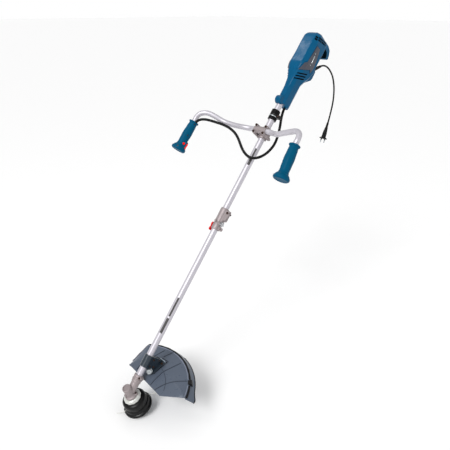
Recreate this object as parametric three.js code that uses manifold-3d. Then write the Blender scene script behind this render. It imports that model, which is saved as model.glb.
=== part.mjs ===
// Electric string trimmer with a two-piece shaft, bicycle handlebar, guard and bump-feed head.
// Millimetres. +X is the operator's left, +Y is rearward, +Z is up. The origin is on the shaft's
// axis at the harness clamp, which carries the whole tool.
import * as THREE from "three";
import { mergeVertices } from "three/addons/utils/BufferGeometryUtils.js";
import Module from "manifold-3d";

const wasm = await Module();
wasm.setup();

// ---- Driving dimensions --------------------------------------------------------------------
// The shaft line is a frame of its own: z runs along the shaft towards the motor, y points to
// the tool's underside and x to the operator's left. Its zero is where the handlebar crosses.
const rad = THREE.MathUtils.degToRad;
const SHAFT_SLOPE = 50; // degrees below the horizontal
const HEAD_ANGLE = 62; // degrees between the shaft and the spindle
const HARNESS_Z = 86;
const GAP = 0.3; // between pieces that touch
const TUBE_R = 13;
const TUBE_WALL = 1.5;
const DRIVE_R = 4;
const UPPER_TUBE = [-372, 224];
const LOWER_TUBE = [-1112, -376];
const HOUSING_WALL = 3;
const HOUSING_END_Z = 428;
const COUPLING = [-446, -351];
const KNOB_LOBES = 5;
const CLAMP_BOLT_X = 25;
const CLAMP_BOLT_Z = 15;
const BAR_R = 11;
const BAR_Y = -30;
const GRIP_TOP = [268, -132.5, -71];
const GRIP_END = [279, -130, -203];
const GRIP_LENGTH = 140;
const TRIGGER_TURN = rad(22);
const LOCK_TURN = rad(-14);
const LOCK_Z = -105;
const LOCK_R = 4.2;
const HEAD_Z = -1162; // where the shaft's and the spindle's axes meet
const GUARD_ANGLE = 55; // degrees between the shaft and the line square to the guard
const GUARD_Z = -1148;
const SPINDLE_R = 5;
const FAN_BLADES = 9;
const PINION_TEETH = 14;
const GEAR_TEETH = 19;
const CONE_DISTANCE = 23.6; // the bevel gears' outer cone distance
const CONE_FACE = 6.6; // length of a tooth along the cone
const GUARD_R = 246;
const LINE_R = 1.2;
const CORD_R = 3.6;
const CABLE_R = 5.5;

// ---- Materials -----------------------------------------------------------------------------
const material = (color, roughness, metalness) =>
  new THREE.MeshStandardMaterial({ color, roughness, metalness });
const blue = material(0x005f8c, 0.3, 0);
const gripBlue = material(0x005a82, 0.6, 0);
const badgeGrey = material(0x6e707d, 0.35, 0.3);
const black = material(0x161616, 0.6, 0);
const cableBlack = material(0x1a1a1a, 0.7, 0);
const redPlastic = material(0xff1e10, 0.35, 0);
const guardGrey = material(0x5f6876, 0.35, 0);
const bracketBlue = material(0x2d3741, 0.45, 0);
const tubeSilver = material(0xdcdae1, 0.35, 0.7);
const castAlloy = material(0xb4a8aa, 0.5, 0.8);
const steel = material(0x9a9a9c, 0.35, 1);
const darkSteel = material(0x4a3c38, 0.45, 1);
const zinc = material(0xc4d0d4, 0.35, 0.9);
const copper = material(0xb87348, 0.4, 0.9);
const nylonLine = material(0xe6e6e2, 0.4, 0);

// ---- Solids --------------------------------------------------------------------------------
function solid(geometry) {
  const bare = geometry.clone();
  bare.deleteAttribute("normal");
  bare.deleteAttribute("uv");
  const merged = mergeVertices(bare, 1e-4);
  const vertProperties = merged.attributes.position.array;
  const triVerts = new Uint32Array(merged.index.array);
  const made = new wasm.Manifold(new wasm.Mesh({ numProp: 3, vertProperties, triVerts }));
  if (made.volume() > 0) return made;
  for (let i = 0; i < triVerts.length; i += 3) triVerts.subarray(i, i + 3).reverse();
  return new wasm.Manifold(new wasm.Mesh({ numProp: 3, vertProperties, triVerts }));
}

const join = (...shapes) => shapes.reduce((whole, shape) => whole.add(shape));
const cut = (shape, ...tools) => tools.reduce((whole, tool) => whole.subtract(tool), shape);

// A profile of [radius, z] turned about z.
function turned(profile, sides = 16) {
  const points = profile.map(([r, z]) => new THREE.Vector2(r, z));
  return solid(new THREE.LatheGeometry(points, sides).rotateX(Math.PI / 2));
}

function rod(r, z0, z1, sides = 16, x = 0, y = 0) {
  const geometry = new THREE.CylinderGeometry(r, r, z1 - z0, sides);
  return solid(geometry.rotateX(Math.PI / 2).translate(x, y, (z0 + z1) / 2));
}

const ring = (outer, inner, z0, z1, sides = 20) =>
  turned([[inner, z0], [outer, z0], [outer, z1], [inner, z1], [inner, z0]], sides);

// Turns a geometry made along z so that its z runs from point a to point b, and moves it to a.
function placeAlong(geometry, a, b) {
  const from = new THREE.Vector3(...a);
  const along = new THREE.Vector3(...b).sub(from).normalize();
  const turn = new THREE.Quaternion().setFromUnitVectors(new THREE.Vector3(0, 0, 1), along);
  return geometry.applyQuaternion(turn).translate(...a);
}

function bar(r, a, b, sides = 12) {
  const length = new THREE.Vector3(...a).distanceTo(new THREE.Vector3(...b));
  const geometry = new THREE.CylinderGeometry(r, r, length, sides);
  geometry.rotateX(Math.PI / 2).translate(0, 0, length / 2);
  return solid(placeAlong(geometry, a, b));
}

function boxGeometry([x0, x1], [y0, y1], [z0, z1]) {
  const geometry = new THREE.BoxGeometry(x1 - x0, y1 - y0, z1 - z0);
  return geometry.translate((x0 + x1) / 2, (y0 + y1) / 2, (z0 + z1) / 2);
}

const block = (xs, ys, zs) => solid(boxGeometry(xs, ys, zs));

const shapeOf = (points) => new THREE.Shape(points.map(([u, v]) => new THREE.Vector2(u, v)));

// An outline of [y, z] points with thickness from x0 to x1.
function sidePlate(outline, x0, x1) {
  const geometry = new THREE.ExtrudeGeometry(shapeOf(outline), {
    depth: x1 - x0,
    bevelEnabled: false,
  });
  geometry.applyMatrix4(new THREE.Matrix4().set(0, 0, 1, 0, 1, 0, 0, 0, 0, 1, 0, 0, 0, 0, 0, 1));
  return solid(geometry.translate(x0, 0, 0));
}

function transformed(shape, matrix) {
  return solid(geometryOf(shape).applyMatrix4(matrix));
}

function circlePoints(r, sides) {
  const corner = (_, i) => {
    const turn = (2 * Math.PI * i) / sides;
    return [r * Math.cos(turn), r * Math.sin(turn)];
  };
  return Array.from({ length: sides }, corner);
}

// A round tube or cord along a smooth curve through the points.
function swept(points, r, sides, steps) {
  const curve = new THREE.CatmullRomCurve3(points.map((p) => new THREE.Vector3(...p)));
  const options = { steps, extrudePath: curve, bevelEnabled: false };
  return solid(new THREE.ExtrudeGeometry(shapeOf(circlePoints(r, sides)), options));
}

// A closed skin through rings of equal point counts, from the first ring to the last.
function lofted(rings) {
  const sides = rings[0].length;
  const middle = (points) =>
    points[0].map((_, axis) => points.reduce((sum, p) => sum + p[axis], 0) / points.length);
  const points = [middle(rings[0]), ...rings.flat(), middle(rings.at(-1))];
  const last = points.length - 1;
  const index = [];
  for (let i = 0; i < sides; i += 1) {
    const next = (i + 1) % sides;
    index.push(0, 1 + next, 1 + i);
    index.push(last, last - sides + i, last - sides + next);
    for (let k = 0; k < rings.length - 1; k += 1) {
      const a = 1 + k * sides;
      const b = a + sides;
      index.push(a + i, a + next, b + i, a + next, b + next, b + i);
    }
  }
  const geometry = new THREE.BufferGeometry();
  geometry.setAttribute("position", new THREE.Float32BufferAttribute(points.flat(), 3));
  return solid(geometry.setIndex(index));
}

// A tooth of a bevel gear: its cone angle, its pitch half-width and its heights at the back end.
function bevelTooth(cone, turn, half, addendum, root) {
  const ringAt = (distance) => {
    const scale = distance / CONE_DISTANCE;
    const pointAt = (height, width) => {
      const r = distance * Math.sin(cone) + scale * height * Math.cos(cone);
      const z = distance * Math.cos(cone) - scale * height * Math.sin(cone);
      const side = scale * width;
      return [
        r * Math.cos(turn) - side * Math.sin(turn),
        r * Math.sin(turn) + side * Math.cos(turn),
        z,
      ];
    };
    const corners = [
      [-root, -1.4 * half],
      [addendum, -0.6 * half],
      [addendum, 0.6 * half],
      [-root, 1.4 * half],
    ];
    return corners.map(([height, width]) => pointAt(height, width));
  };
  return lofted([ringAt(CONE_DISTANCE - CONE_FACE), ringAt(CONE_DISTANCE)]);
}

// A bevel gear with its apex at the origin and its axis along z.
function bevelGear(teeth, cone, firstTurn, bore) {
  const pitchR = CONE_DISTANCE * Math.sin(cone);
  const module = (2 * pitchR) / teeth;
  const root = 1.15 * module;
  const at = (distance) => [
    distance * Math.sin(cone) - (distance / CONE_DISTANCE) * root * Math.cos(cone),
    distance * Math.cos(cone) + (distance / CONE_DISTANCE) * root * Math.sin(cone),
  ];
  const inner = at(CONE_DISTANCE - CONE_FACE);
  const outer = at(CONE_DISTANCE);
  let gear = turned([
    [bore, inner[1]],
    inner,
    outer,
    [outer[0], outer[1] + 2],
    [bore, outer[1] + 2],
    [bore, inner[1]],
  ], teeth);
  const half = 0.19 * Math.PI * module;
  for (let i = 0; i < teeth; i += 1) {
    const turn = firstTurn + (2 * Math.PI * i) / teeth;
    gear = gear.add(bevelTooth(cone, turn, half, 0.7 * module, root + 0.3));
  }
  return gear;
}

function geometryOf(shape) {
  const { vertProperties, triVerts } = shape.getMesh();
  const geometry = new THREE.BufferGeometry();
  geometry.setAttribute("position", new THREE.BufferAttribute(vertProperties, 3));
  return geometry.setIndex(new THREE.BufferAttribute(triVerts, 1));
}

function add(group, name, shape, look) {
  const geometry = geometryOf(shape);
  geometry.computeVertexNormals();
  const mesh = new THREE.Mesh(geometry, look);
  mesh.name = name;
  group.add(mesh);
}

// ---- Frames --------------------------------------------------------------------------------
const trimmer = new THREE.Group();
const tilted = new THREE.Group();
tilted.rotation.x = -rad(90 - SHAFT_SLOPE);
const shaftLine = new THREE.Group();
shaftLine.position.z = -HARNESS_Z;
const headFrame = new THREE.Group();
headFrame.position.z = HEAD_Z;
headFrame.rotation.x = rad(HEAD_ANGLE);
const guardFrame = new THREE.Group();
guardFrame.position.z = GUARD_Z;
guardFrame.rotation.x = rad(GUARD_ANGLE);
trimmer.add(tilted);
tilted.add(shaftLine);
shaftLine.add(headFrame, guardFrame);

// ---- Motor housing -------------------------------------------------------------------------
// Cross-sections of the casing: height along the shaft, centre, half width, half depth, and
// how square the section is.
const CASING = [
  { z: 147, y: 18, wide: 19, deep: 31, square: 2.5 },
  { z: 152, y: 18, wide: 21, deep: 34, square: 2.5 },
  { z: 222, y: 17.5, wide: 21, deep: 34, square: 2.6 },
  { z: 262, y: 13.5, wide: 26, deep: 33, square: 2.8 },
  { z: 288, y: 13.5, wide: 36, deep: 40, square: 3 },
  { z: 310, y: 14.5, wide: 43, deep: 47, square: 3.2 },
  { z: 330, y: 15, wide: 45.5, deep: 50.5, square: 3.4 },
  { z: 352, y: 15, wide: 44.5, deep: 49.5, square: 3.4 },
  { z: HOUSING_END_Z, y: 15, wide: 44.5, deep: 49.5, square: 3.4 },
];
const CAP = [
  { z: HOUSING_END_Z + GAP, y: 15, wide: 44.5, deep: 49.5, square: 3.4 },
  { z: 462, y: 15, wide: 43.5, deep: 48.5, square: 3.4 },
  { z: 475, y: 16.5, wide: 39.5, deep: 44.5, square: 3.2 },
  { z: 485, y: 17.5, wide: 32, deep: 36, square: 3 },
  { z: 494, y: 17.5, wide: 18, deep: 20, square: 2.6 },
];

function sectionRing({ z, y, wide, deep, square }, grow, sides) {
  const point = (_, i) => {
    const turn = (2 * Math.PI * i) / sides;
    const round = (v) => Math.sign(v) * Math.abs(v) ** (2 / square);
    return [
      (wide + grow) * round(Math.cos(turn)),
      y + (deep + grow) * round(Math.sin(turn)),
      z,
    ];
  };
  return Array.from({ length: sides }, point);
}

function casing(sections, grow, sides = 20) {
  return lofted(sections.map((section) => sectionRing(section, grow, sides)));
}

// The hollow inside a casing, moved along the shaft so that it breaks through one end.
function hollow(sections, firstZ, lastZ) {
  const inside = sections.map((section) => ({ ...section }));
  inside[0].z = firstZ;
  inside.at(-1).z = lastZ;
  return casing(inside, -HOUSING_WALL);
}

function addHousing(group) {
  // The bulge under the casing that the supply cord enters.
  const CORD_BULGE = [
    [20, 262], [40, 272], [84, 318], [88, 330], [87, 362], [64, 380], [20, 384],
  ];
  const CORD_ROOM = [
    [22, 268], [39, 277], [80, 320], [84, 331], [83, 359], [63, 376], [22, 378],
  ];
  const lug = bar(16, [-14, -9, 155], [14, -9, 155], 18);
  const body = join(casing(CASING, 0), lug, sidePlate(CORD_BULGE, -22, 22));
  const tools = [
    hollow(CASING, 151, HOUSING_END_Z + 2),
    sidePlate(CORD_ROOM, -18.5, 18.5),
    rod(TUBE_R + GAP, 120, 240, 18),
    bar(CABLE_R + 1, [0.2, 38, 130], [0.2, 38, 160], 12),
    bar(GLAND_STEM_R + GAP, CORD_EXIT, GLAND_TIP, 16),
  ];
  for (let i = 0; i < 3; i += 1) {
    const slot = new THREE.BoxGeometry(120, 52, 5);
    slot.rotateX(rad(27)).translate(0, -1 + 2 * i, 295 - 11 * i);
    tools.push(solid(slot));
  }
  const shell = cut(body, ...tools);
  const half = GAP / 2;
  const left = shell.intersect(block([half, 120], [-120, 200], [100, 600]));
  const right = shell.intersect(block([-120, -half], [-120, 200], [100, 600]));
  add(group, "motor_housing_left", left, blue);
  add(group, "motor_housing_right", right, blue);
  addRearCover(group);
  addBadges(group);
}

// The rear cover with its air vents and the hook for an extension cord, a rim on a web.
function addRearCover(group) {
  const HOOK = [
    [56, 498], [90, 498], [110, 491], [122, 472], [126, 455], [76, 421], [56, 424],
  ];
  const HOOK_POCKET = [
    [46, 490], [88, 490], [103, 485], [114, 469], [117, 454], [77, 427], [79, 410], [46, 400],
  ];
  const pockets = [-1, 1].map((side) =>
    sidePlate(HOOK_POCKET, Math.min(3 * side, 40 * side), Math.max(3 * side, 40 * side)),
  );
  const hook = cut(sidePlate(HOOK, -20, 20), ...pockets);
  let cover = join(casing(CAP, 0), hook);
  const belowCover = block([-30, 30], [20, 66], [400, HOUSING_END_Z + GAP]);
  cover = cut(cover, hollow(CAP, HOUSING_END_Z - 2, 490), belowCover);
  for (let column = 0; column < 5; column += 1) {
    const y = 14 * column - 25;
    const z = 4 * column + 452;
    cover = cut(
      cover,
      block([-80, 80], [y - 4.5, y + 4.5], [z - 8, z - 2]),
      block([-80, 80], [y - 4.5, y + 4.5], [z + 2, z + 8]),
    );
  }
  add(group, "rear_cover", cover, blue);
}

// The grey side plates lie on the casing's skin.
function addBadges(group) {
  const OUTLINE = [
    [-10, 424], [14, 426], [29, 372], [32, 350], [27, 318], [17, 328], [-28, 298], [-26, 332],
    [-18, 342],
  ];
  const skin = casing(CASING, 1.9).subtract(casing(CASING, GAP));
  add(group, "badge_left", skin.intersect(sidePlate(OUTLINE, 12, 80)), badgeGrey);
  add(group, "badge_right", skin.intersect(sidePlate(OUTLINE, -80, -12)), badgeGrey);
}

// ---- Supply cord ---------------------------------------------------------------------------
const GLAND_STEM_R = 5.8;
const CORD_PLANE = 10;
const CORD_EXIT = [CORD_PLANE, 71, 359.5];
const GLAND_TIP = [CORD_PLANE, 112, 410.5];
const CORD_ROUTE = [
  [112.2, 410.8], [120, 419.5], [134, 430], [151, 437.5], [171, 441.5], [190, 442], [209, 440],
  [227, 435.5], [244, 428], [261, 418], [277, 406], [292, 391.5], [306, 375], [318, 357],
  [329, 336], [339, 314], [348, 292], [354.5, 275],
].map(([y, z]) => [CORD_PLANE, y, z]);
const PLUG_END = [CORD_PLANE, 378, 200];

function addSupplyCord(group) {
  const along = (shape, from, to) => solid(placeAlong(shape, from, to));
  const lathe = (profile, sides) => {
    const points = profile.map(([r, z]) => new THREE.Vector2(r, z));
    return new THREE.LatheGeometry(points, sides).rotateX(Math.PI / 2);
  };
  const boot = lathe(
    [
      [0, 0], [GLAND_STEM_R, 0], [GLAND_STEM_R, 13], [8.5, 14], [8.5, 17], [7.6, 19], [5.6, 65],
      [0, 65],
    ],
    12,
  );
  add(group, "cord_gland", along(boot, CORD_EXIT, GLAND_TIP), black);
  add(group, "mains_cord", swept(CORD_ROUTE, CORD_R, 8, 32), cableBlack);
  const neck = CORD_ROUTE.at(-1);
  const start = new THREE.Vector3(...neck).lerp(new THREE.Vector3(...PLUG_END), 0.006).toArray();
  const length = new THREE.Vector3(...start).distanceTo(new THREE.Vector3(...PLUG_END));
  const moulding = lathe(
    [
      [0, 0], [4.6, 0], [5.4, 14], [6.6, 26], [9.5, 48], [10, length - 9], [12, length - 5],
      [18, length - 4], [18, length], [0, length],
    ],
    16,
  );
  let plug = along(moulding, start, PLUG_END);
  [-9.5, 9.5].forEach((offset) => {
    const pin = new THREE.CylinderGeometry(2.4, 2.4, 22, 12);
    pin.rotateX(Math.PI / 2).translate(offset, 0, length + 8);
    plug = plug.add(along(pin, start, PLUG_END));
  });
  add(group, "mains_plug", plug, black);
}

// ---- Control cable -------------------------------------------------------------------------
// The sheathed switch cable leaves the casing behind the shaft, hangs in a loop past its left
// side, crosses in front of it and runs along the bar into the switch grip.
const CABLE_ROUTE = [
  [0, 38, 166], [0, 38, 150], [1, 38.5, 134], [5, 40, 112], [12, 42, 88], [21, 43.5, 62],
  [30, 43, 34], [38, 40, 6], [45, 33, -24], [49, 20, -55], [49, 4, -84], [43, -12, -107],
  [31, -25, -121], [13, -34, -124.5],
  [-8, -42, -117], [-28, -49, -103], [-46, -56, -85], [-64, -65, -67], [-84, -75, -53],
  [-110, -87, -44], [-140, -99, -41], [-170, -107, -41], [-198, -114, -42], [-222, -122, -45],
  [-239, -130, -53], [-248, -135.5, -64], [-251, -137.6, -76],
];

function addControlCable(group) {
  add(group, "control_cable", swept(CABLE_ROUTE, CABLE_R, 8, 44), cableBlack);
}

// ---- Motor ---------------------------------------------------------------------------------
function addMotor(group) {
  const stator = turned([
    [23, 330], [28, 330], [28, 338], [30.5, 338], [30.5, 390], [28, 390], [28, 398], [23, 398],
    [23, 330],
  ]);
  add(group, "stator", stator, copper);
  add(group, "front_bearing", ring(14, 6.3, 288, 297, 18), steel);
  add(group, "rear_bearing", ring(12, 5.3, 440, 448, 18), steel);
}

function addRotor(group) {
  const armature = turned([
    [0, 262], [6, 262], [6, 300], [7.5, 300], [7.5, 330], [17, 332], [22, 340], [22, 388], [17, 396],
    [7.5, 399], [7.5, 408], [15, 408], [15, 428], [7, 428], [5, 438], [5, 452], [0, 452],
  ]);
  add(group, "armature", armature, steel);
  let fan = turned([[7.8, 304], [25, 304], [25, 306], [12, 306], [12, 318], [7.8, 318], [7.8, 304]]);
  for (let i = 0; i < FAN_BLADES; i += 1) {
    const blade = new THREE.BoxGeometry(13, 1.6, 13);
    blade.translate(18.3, 0, 311.5).rotateZ((2 * Math.PI * i) / FAN_BLADES);
    fan = fan.add(solid(blade));
  }
  add(group, "cooling_fan", fan, black);
}

// ---- Shaft ---------------------------------------------------------------------------------
function addUpperShaft(group) {
  add(group, "upper_tube", ring(TUBE_R, TUBE_R - TUBE_WALL, ...UPPER_TUBE), tubeSilver);
  const outside = TUBE_R + GAP;
  const sleeve = turned([
    [outside, 66], [18.5, 66], [18.5, 78], [16.5, 79], [16.5, 93], [18.5, 94], [18.5, 111],
    [outside, 111], [outside, 66],
  ]);
  add(group, "harness_sleeve", sleeve, black);
  const ears = block([8, 30], [-3, 15], [80, 92]);
  const bandBore = rod(16.5 + GAP, 60, 120, 18);
  const eyeHole = bar(2.3, [25, -10, 86], [25, 20, 86], 12);
  const split = block([15, 40], [5, 7], [70, 100]);
  const band = cut(join(ring(18.3, 16.6, 80, 92), ears), bandBore, eyeHole, split);
  add(group, "harness_band", band, steel);
  const screw = join(
    bar(2, [25, -6, 86], [25, 19, 86], 12),
    bar(4.2, [25, -8, 86], [25, -3 - GAP, 86], 12),
    bar(4.2, [25, 15 + GAP, 86], [25, 19, 86], 6),
  );
  add(group, "harness_screw", screw, darkSteel);
}

// The upper drive shaft ends in a socket that the lower one's tip slides into.
function addDriveShafts(group) {
  const socket = -383;
  const upperShaft = join(
    rod(DRIVE_R, socket + 5, 261.5, 20),
    rod(7.5, socket, socket + 6, 20),
    ring(7.5, 3.2, socket - 14, socket + 1, 20),
  );
  add(group, "upper_drive_shaft", upperShaft, steel);
  const lowerShaft = join(
    rod(DRIVE_R, HEAD_Z + 27.5, socket - 15, 20),
    rod(2.8, socket - 16, socket - 1, 16),
  );
  add(group, "lower_drive_shaft", lowerShaft, steel);
}

// ---- Handlebar -----------------------------------------------------------------------------
function addBarClamp(group) {
  const seat = rod(TUBE_R + GAP, -60, 60, 18);
  const barSeat = bar(BAR_R + 0.6, [-60, BAR_Y, 0], [60, BAR_Y, 0], 18);
  const places = [-1, 1].flatMap((sx) =>
    [-1, 1].map((sz) => [sx * CLAMP_BOLT_X, sz * CLAMP_BOLT_Z]),
  );
  const holes = places.map(([x, z]) => bar(2.8, [x, -60, z], [x, 40, z], 10));
  const wide = CLAMP_BOLT_X + 8;
  const high = CLAMP_BOLT_Z + 8;
  const plate = (y0, y1) =>
    join(
      block([5 - wide, wide - 5], [y0, y1], [7 - high, high - 7]),
      ...places.map(([x, z]) => bar(6.5, [x, y0, z], [x, y1, z], 12)),
    );
  const above = block([-80, 80], [-90, BAR_Y - GAP], [-60, 60]);
  const saddle = bar(BAR_R + 5, [1 - wide, BAR_Y, 0], [wide - 1, BAR_Y, 0], 24).intersect(above);
  const headRoom = places.map(([x, z]) => bar(5, [x, -60, z], [x, -40, z], 12));
  const cap = cut(join(plate(-40, BAR_Y - GAP), saddle), barSeat, ...holes, ...headRoom);
  add(group, "bar_clamp_cap", cap, castAlloy);
  const middle = block([-19, 19], [BAR_Y + GAP, -GAP], [-25, 25]);
  const base = cut(join(plate(BAR_Y + GAP, -GAP), middle), barSeat, seat, ...holes);
  add(group, "bar_clamp_base", base, castAlloy);
  const below = block([-40, 40], [GAP, 60], [-60, 60]);
  const cradle = rod(TUBE_R + 5.5, -25, 25, 24).intersect(below);
  const bottom = cut(join(plate(GAP, 12), cradle), seat, ...holes);
  add(group, "bar_clamp_bottom", bottom, castAlloy);
  places.forEach(([x, z], i) => {
    const bolt = join(
      bar(2.5, [x, -44, z], [x, 18, z], 10),
      bar(4.5, [x, -46, z], [x, -40 - GAP, z], 10),
      bar(4.5, [x, 12 + GAP, z], [x, 16, z], 6),
    );
    add(group, "bar_clamp_bolt_" + (i + 1), bolt, darkSteel);
  });
}

// The bar's route on the operator's left, from the clamp to inside the grip.
const BAR_ROUTE = [
  [0, BAR_Y, 0], [20, BAR_Y, 0], [37, BAR_Y, 0], [60, BAR_Y, -2], [87, -42, -8], [117, -68, -19],
  [151, -92, -24], [195, -105, -16], [234, -118, -13], [261, -129, -27], [269, -133.5, -51],
  GRIP_TOP, [273.5, -131.2, -137], [278, -130.2, -191],
];

function addHandlebar(group) {
  const mirrored = BAR_ROUTE.slice(1).map(([x, y, z]) => [-x, y, z]);
  const route = [...mirrored.reverse(), ...BAR_ROUTE];
  add(group, "handlebar", swept(route, BAR_R, 12, 44), tubeSilver);
}

// Radius of a grip at a distance below its top end.
const GRIP_PROFILE = [
  [0, 19], [1.5, 21.6], [5, 21.6], [8, 17.4], [30, 19], [58, 20.4], [85, 19.4], [104, 18.4], [112, 20],
  [124, 28], [128, 31], [135, 31.5], [138, 29],
];

function gripShape() {
  const profile = GRIP_PROFILE.map(([d, r]) => [r, -d]);
  return turned([[0, 0], ...profile, [0, -GRIP_LENGTH]], 18);
}

// A frame at a grip's top end with its z along the grip, pointing back along the bar.
function gripFrame(side) {
  const frame = new THREE.Group();
  const top = new THREE.Vector3(side * GRIP_TOP[0], GRIP_TOP[1], GRIP_TOP[2]);
  const end = new THREE.Vector3(side * GRIP_END[0], GRIP_END[1], GRIP_END[2]);
  const along = top.clone().sub(end).normalize();
  frame.position.copy(top);
  frame.quaternion.setFromUnitVectors(new THREE.Vector3(0, 0, 1), along);
  return frame;
}

function addGrips(group) {
  const bore = rod(BAR_R + 1.2, -124, 10, 18);
  const leftFrame = gripFrame(1);
  group.add(leftFrame);
  add(leftFrame, "left_grip", gripShape().subtract(bore), gripBlue);

  // The switch grip is two shells round the bar. The inner one holds the trigger and its lock.
  const rightFrame = gripFrame(-1);
  group.add(rightFrame);
  const triggerBlock = (xs, ys, zs) => solid(boxGeometry(xs, ys, zs).rotateZ(TRIGGER_TURN));
  const onButtonAxis = (r) => [r * Math.cos(LOCK_TURN), r * Math.sin(LOCK_TURN), LOCK_Z];
  rightFrame.updateMatrix();
  const cableInGrip = swept(CABLE_ROUTE, CABLE_R + GAP, 8, 44);
  const toGrip = rightFrame.matrix.clone().invert();
  const cableTool = transformed(cableInGrip, toGrip);
  const shell = cut(
    gripShape(),
    bore,
    triggerBlock([11, 45], [-4, 4], [-125, -94]),
    bar(LOCK_R + 0.4, onButtonAxis(13), onButtonAxis(45)),
    cableTool,
  );
  const inner = block([GAP / 2, 60], [-60, 60], [-200, 20]);
  const outer = block([-60, -GAP / 2], [-60, 60], [-200, 20]);
  add(rightFrame, "switch_grip_inner", shell.intersect(inner), gripBlue);
  add(rightFrame, "switch_grip_outer", shell.intersect(outer), gripBlue);
  const trigger = join(
    triggerBlock([16, 27], [-3.5, 3.5], [-122, -97]),
    triggerBlock([26, 29.5], [-3.5, 3.5], [-118, -97]),
  );
  add(rightFrame, "trigger", trigger, redPlastic);
  add(rightFrame, "lock_button", bar(LOCK_R, onButtonAxis(16.5), onButtonAxis(22.5)), redPlastic);
}

// ---- Shaft coupling ------------------------------------------------------------------------
function addCoupling(group) {
  const [low, high] = COUPLING;
  const body = turned([
    [0, low], [17, low], [18, low + 3], [18, high - 6], [16.5, high], [0, high],
  ]);
  const lug = sidePlate([[-9, -400], [-9, -356], [9, -356], [9, -400]], 8, 35);
  const knobBoss = bar(9, [4, -8, -418], [22, -8, -418], 20);
  const eye = bar(8, [14, -4, -438], [14, 4, -438], 20);
  const eyeArm = block([14, 28], [-4, 4], [-444, -430]);
  const eyeTip = bar(7, [28, -4, -437], [28, 4, -437], 16);
  const shape = cut(
    join(body, lug, knobBoss, eye, eyeArm, eyeTip),
    rod(TUBE_R + GAP, low - 5, high + 5, 18),
    block([10, 50], [-1, 1], [-400, -340]),
    bar(2.8, [27, -20, -367], [27, 20, -367], 12),
    bar(2.8, [17, -8, -418], [30, -8, -418], 12),
    bar(3, [28, -10, -437], [28, 10, -437], 12),
    bar(4.4, [-30, 0, -434], [-10, 0, -434], 16),
    bar(3.4, [0, -30, -412], [0, -14, -412], 16),
  );
  add(group, "coupling_body", shape, castAlloy);
  const bolt = join(
    bar(2.5, [27, -13, -367], [27, 13, -367], 12),
    bar(4.5, [27, -14, -367], [27, -9 - GAP, -367], 12),
    bar(4.5, [27, 9 + GAP, -367], [27, 13, -367], 6),
  );
  add(group, "coupling_bolt", bolt, darkSteel);
  let knob = join(
    bar(2.5, [18, -8, -418], [26, -8, -418], 12),
    bar(8, [22 + GAP, -8, -418], [34, -8, -418], 20),
  );
  for (let i = 0; i < KNOB_LOBES; i += 1) {
    const turn = (2 * Math.PI * i) / KNOB_LOBES;
    const y = -8 + 7.5 * Math.cos(turn);
    const z = -418 + 7.5 * Math.sin(turn);
    knob = knob.add(bar(3, [24, y, z], [33, y, z], 10));
  }
  add(group, "clamp_knob", knob, zinc);
  const pin = join(
    bar(3, [0, -22, -412], [0, -14, -412], 14),
    bar(5, [0, -24, -412], [0, -18.6, -412], 16),
  );
  add(group, "locating_pin", pin, zinc);
  const paddle = block([-24.5, -20.3], [-7, 7], [-455, -420]);
  const lever = join(paddle, bar(4, [-21, 0, -434], [-16.6, 0, -434], 16));
  add(group, "release_lever", lever, redPlastic);
}

// ---- Lower shaft, gearbox and guard --------------------------------------------------------
const PINION_CONE = Math.atan2(
  Math.sin(rad(HEAD_ANGLE)),
  GEAR_TEETH / PINION_TEETH + Math.cos(rad(HEAD_ANGLE)),
);
const GEAR_CONE = rad(HEAD_ANGLE) - PINION_CONE;

// A point on or beside the shaft, in a frame turned from it by an angle about x.
function turnedBack(degrees, [x, y, z]) {
  const turn = rad(degrees);
  return [x, y * Math.cos(turn) + z * Math.sin(turn), z * Math.cos(turn) - y * Math.sin(turn)];
}
const inHeadFrame = (x, y, z) => turnedBack(HEAD_ANGLE, [x, y, z]);
const inGuardFrame = (x, y, z) => turnedBack(GUARD_ANGLE, [x, y, z]);

function addGearbox(group) {
  const alongShaft = (r, from, to, sides = 18) =>
    bar(r, inHeadFrame(0, 0, from), inHeadFrame(0, 0, to), sides);
  const boss = turned([
    [0, 38], [12, 38], [16, 36], [17.3, 32], [17.3, -3], [21, -7], [24, -8], [24, -14.7], [0, -14.7],
  ], 18);
  const ear = bar(6, inHeadFrame(17.5, -9, 69), inHeadFrame(17.5, 9, 69), 12);
  const gearRoom = turned([
    [0, 32], [15.2, 32], [15.2, 2], [9, 0], [9, -3.5], [13.3, -3.5], [13.3, -20], [0, -20],
  ], 18);
  const casting = cut(
    join(boss, alongShaft(16.5, 8, 52), alongShaft(18.5, 50, 77), alongShaft(20, 56, 61), ear),
    alongShaft(TUBE_R + GAP, LOWER_TUBE[0] - HEAD_Z - GAP, 94, 18),
    alongShaft(12.4, 10, LOWER_TUBE[0] - HEAD_Z, 16),
    bar(2.3, inHeadFrame(17.5, -30, 69), inHeadFrame(17.5, 30, 69), 10),
    gearRoom,
  );
  add(group, "gearbox_housing", casting, castAlloy);
  add(group, "spindle_bearing", ring(13, SPINDLE_R + GAP, -14.2, -4.2, 20), steel);
}

function addPinion(group) {
  const pinionFrame = new THREE.Group();
  pinionFrame.position.z = HEAD_Z;
  group.add(pinionFrame);
  const gear = bevelGear(PINION_TEETH, PINION_CONE, -Math.PI / 2, 2);
  add(pinionFrame, "pinion", gear.add(rod(2.1, 20, 27.2, 16)), steel);
}

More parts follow.
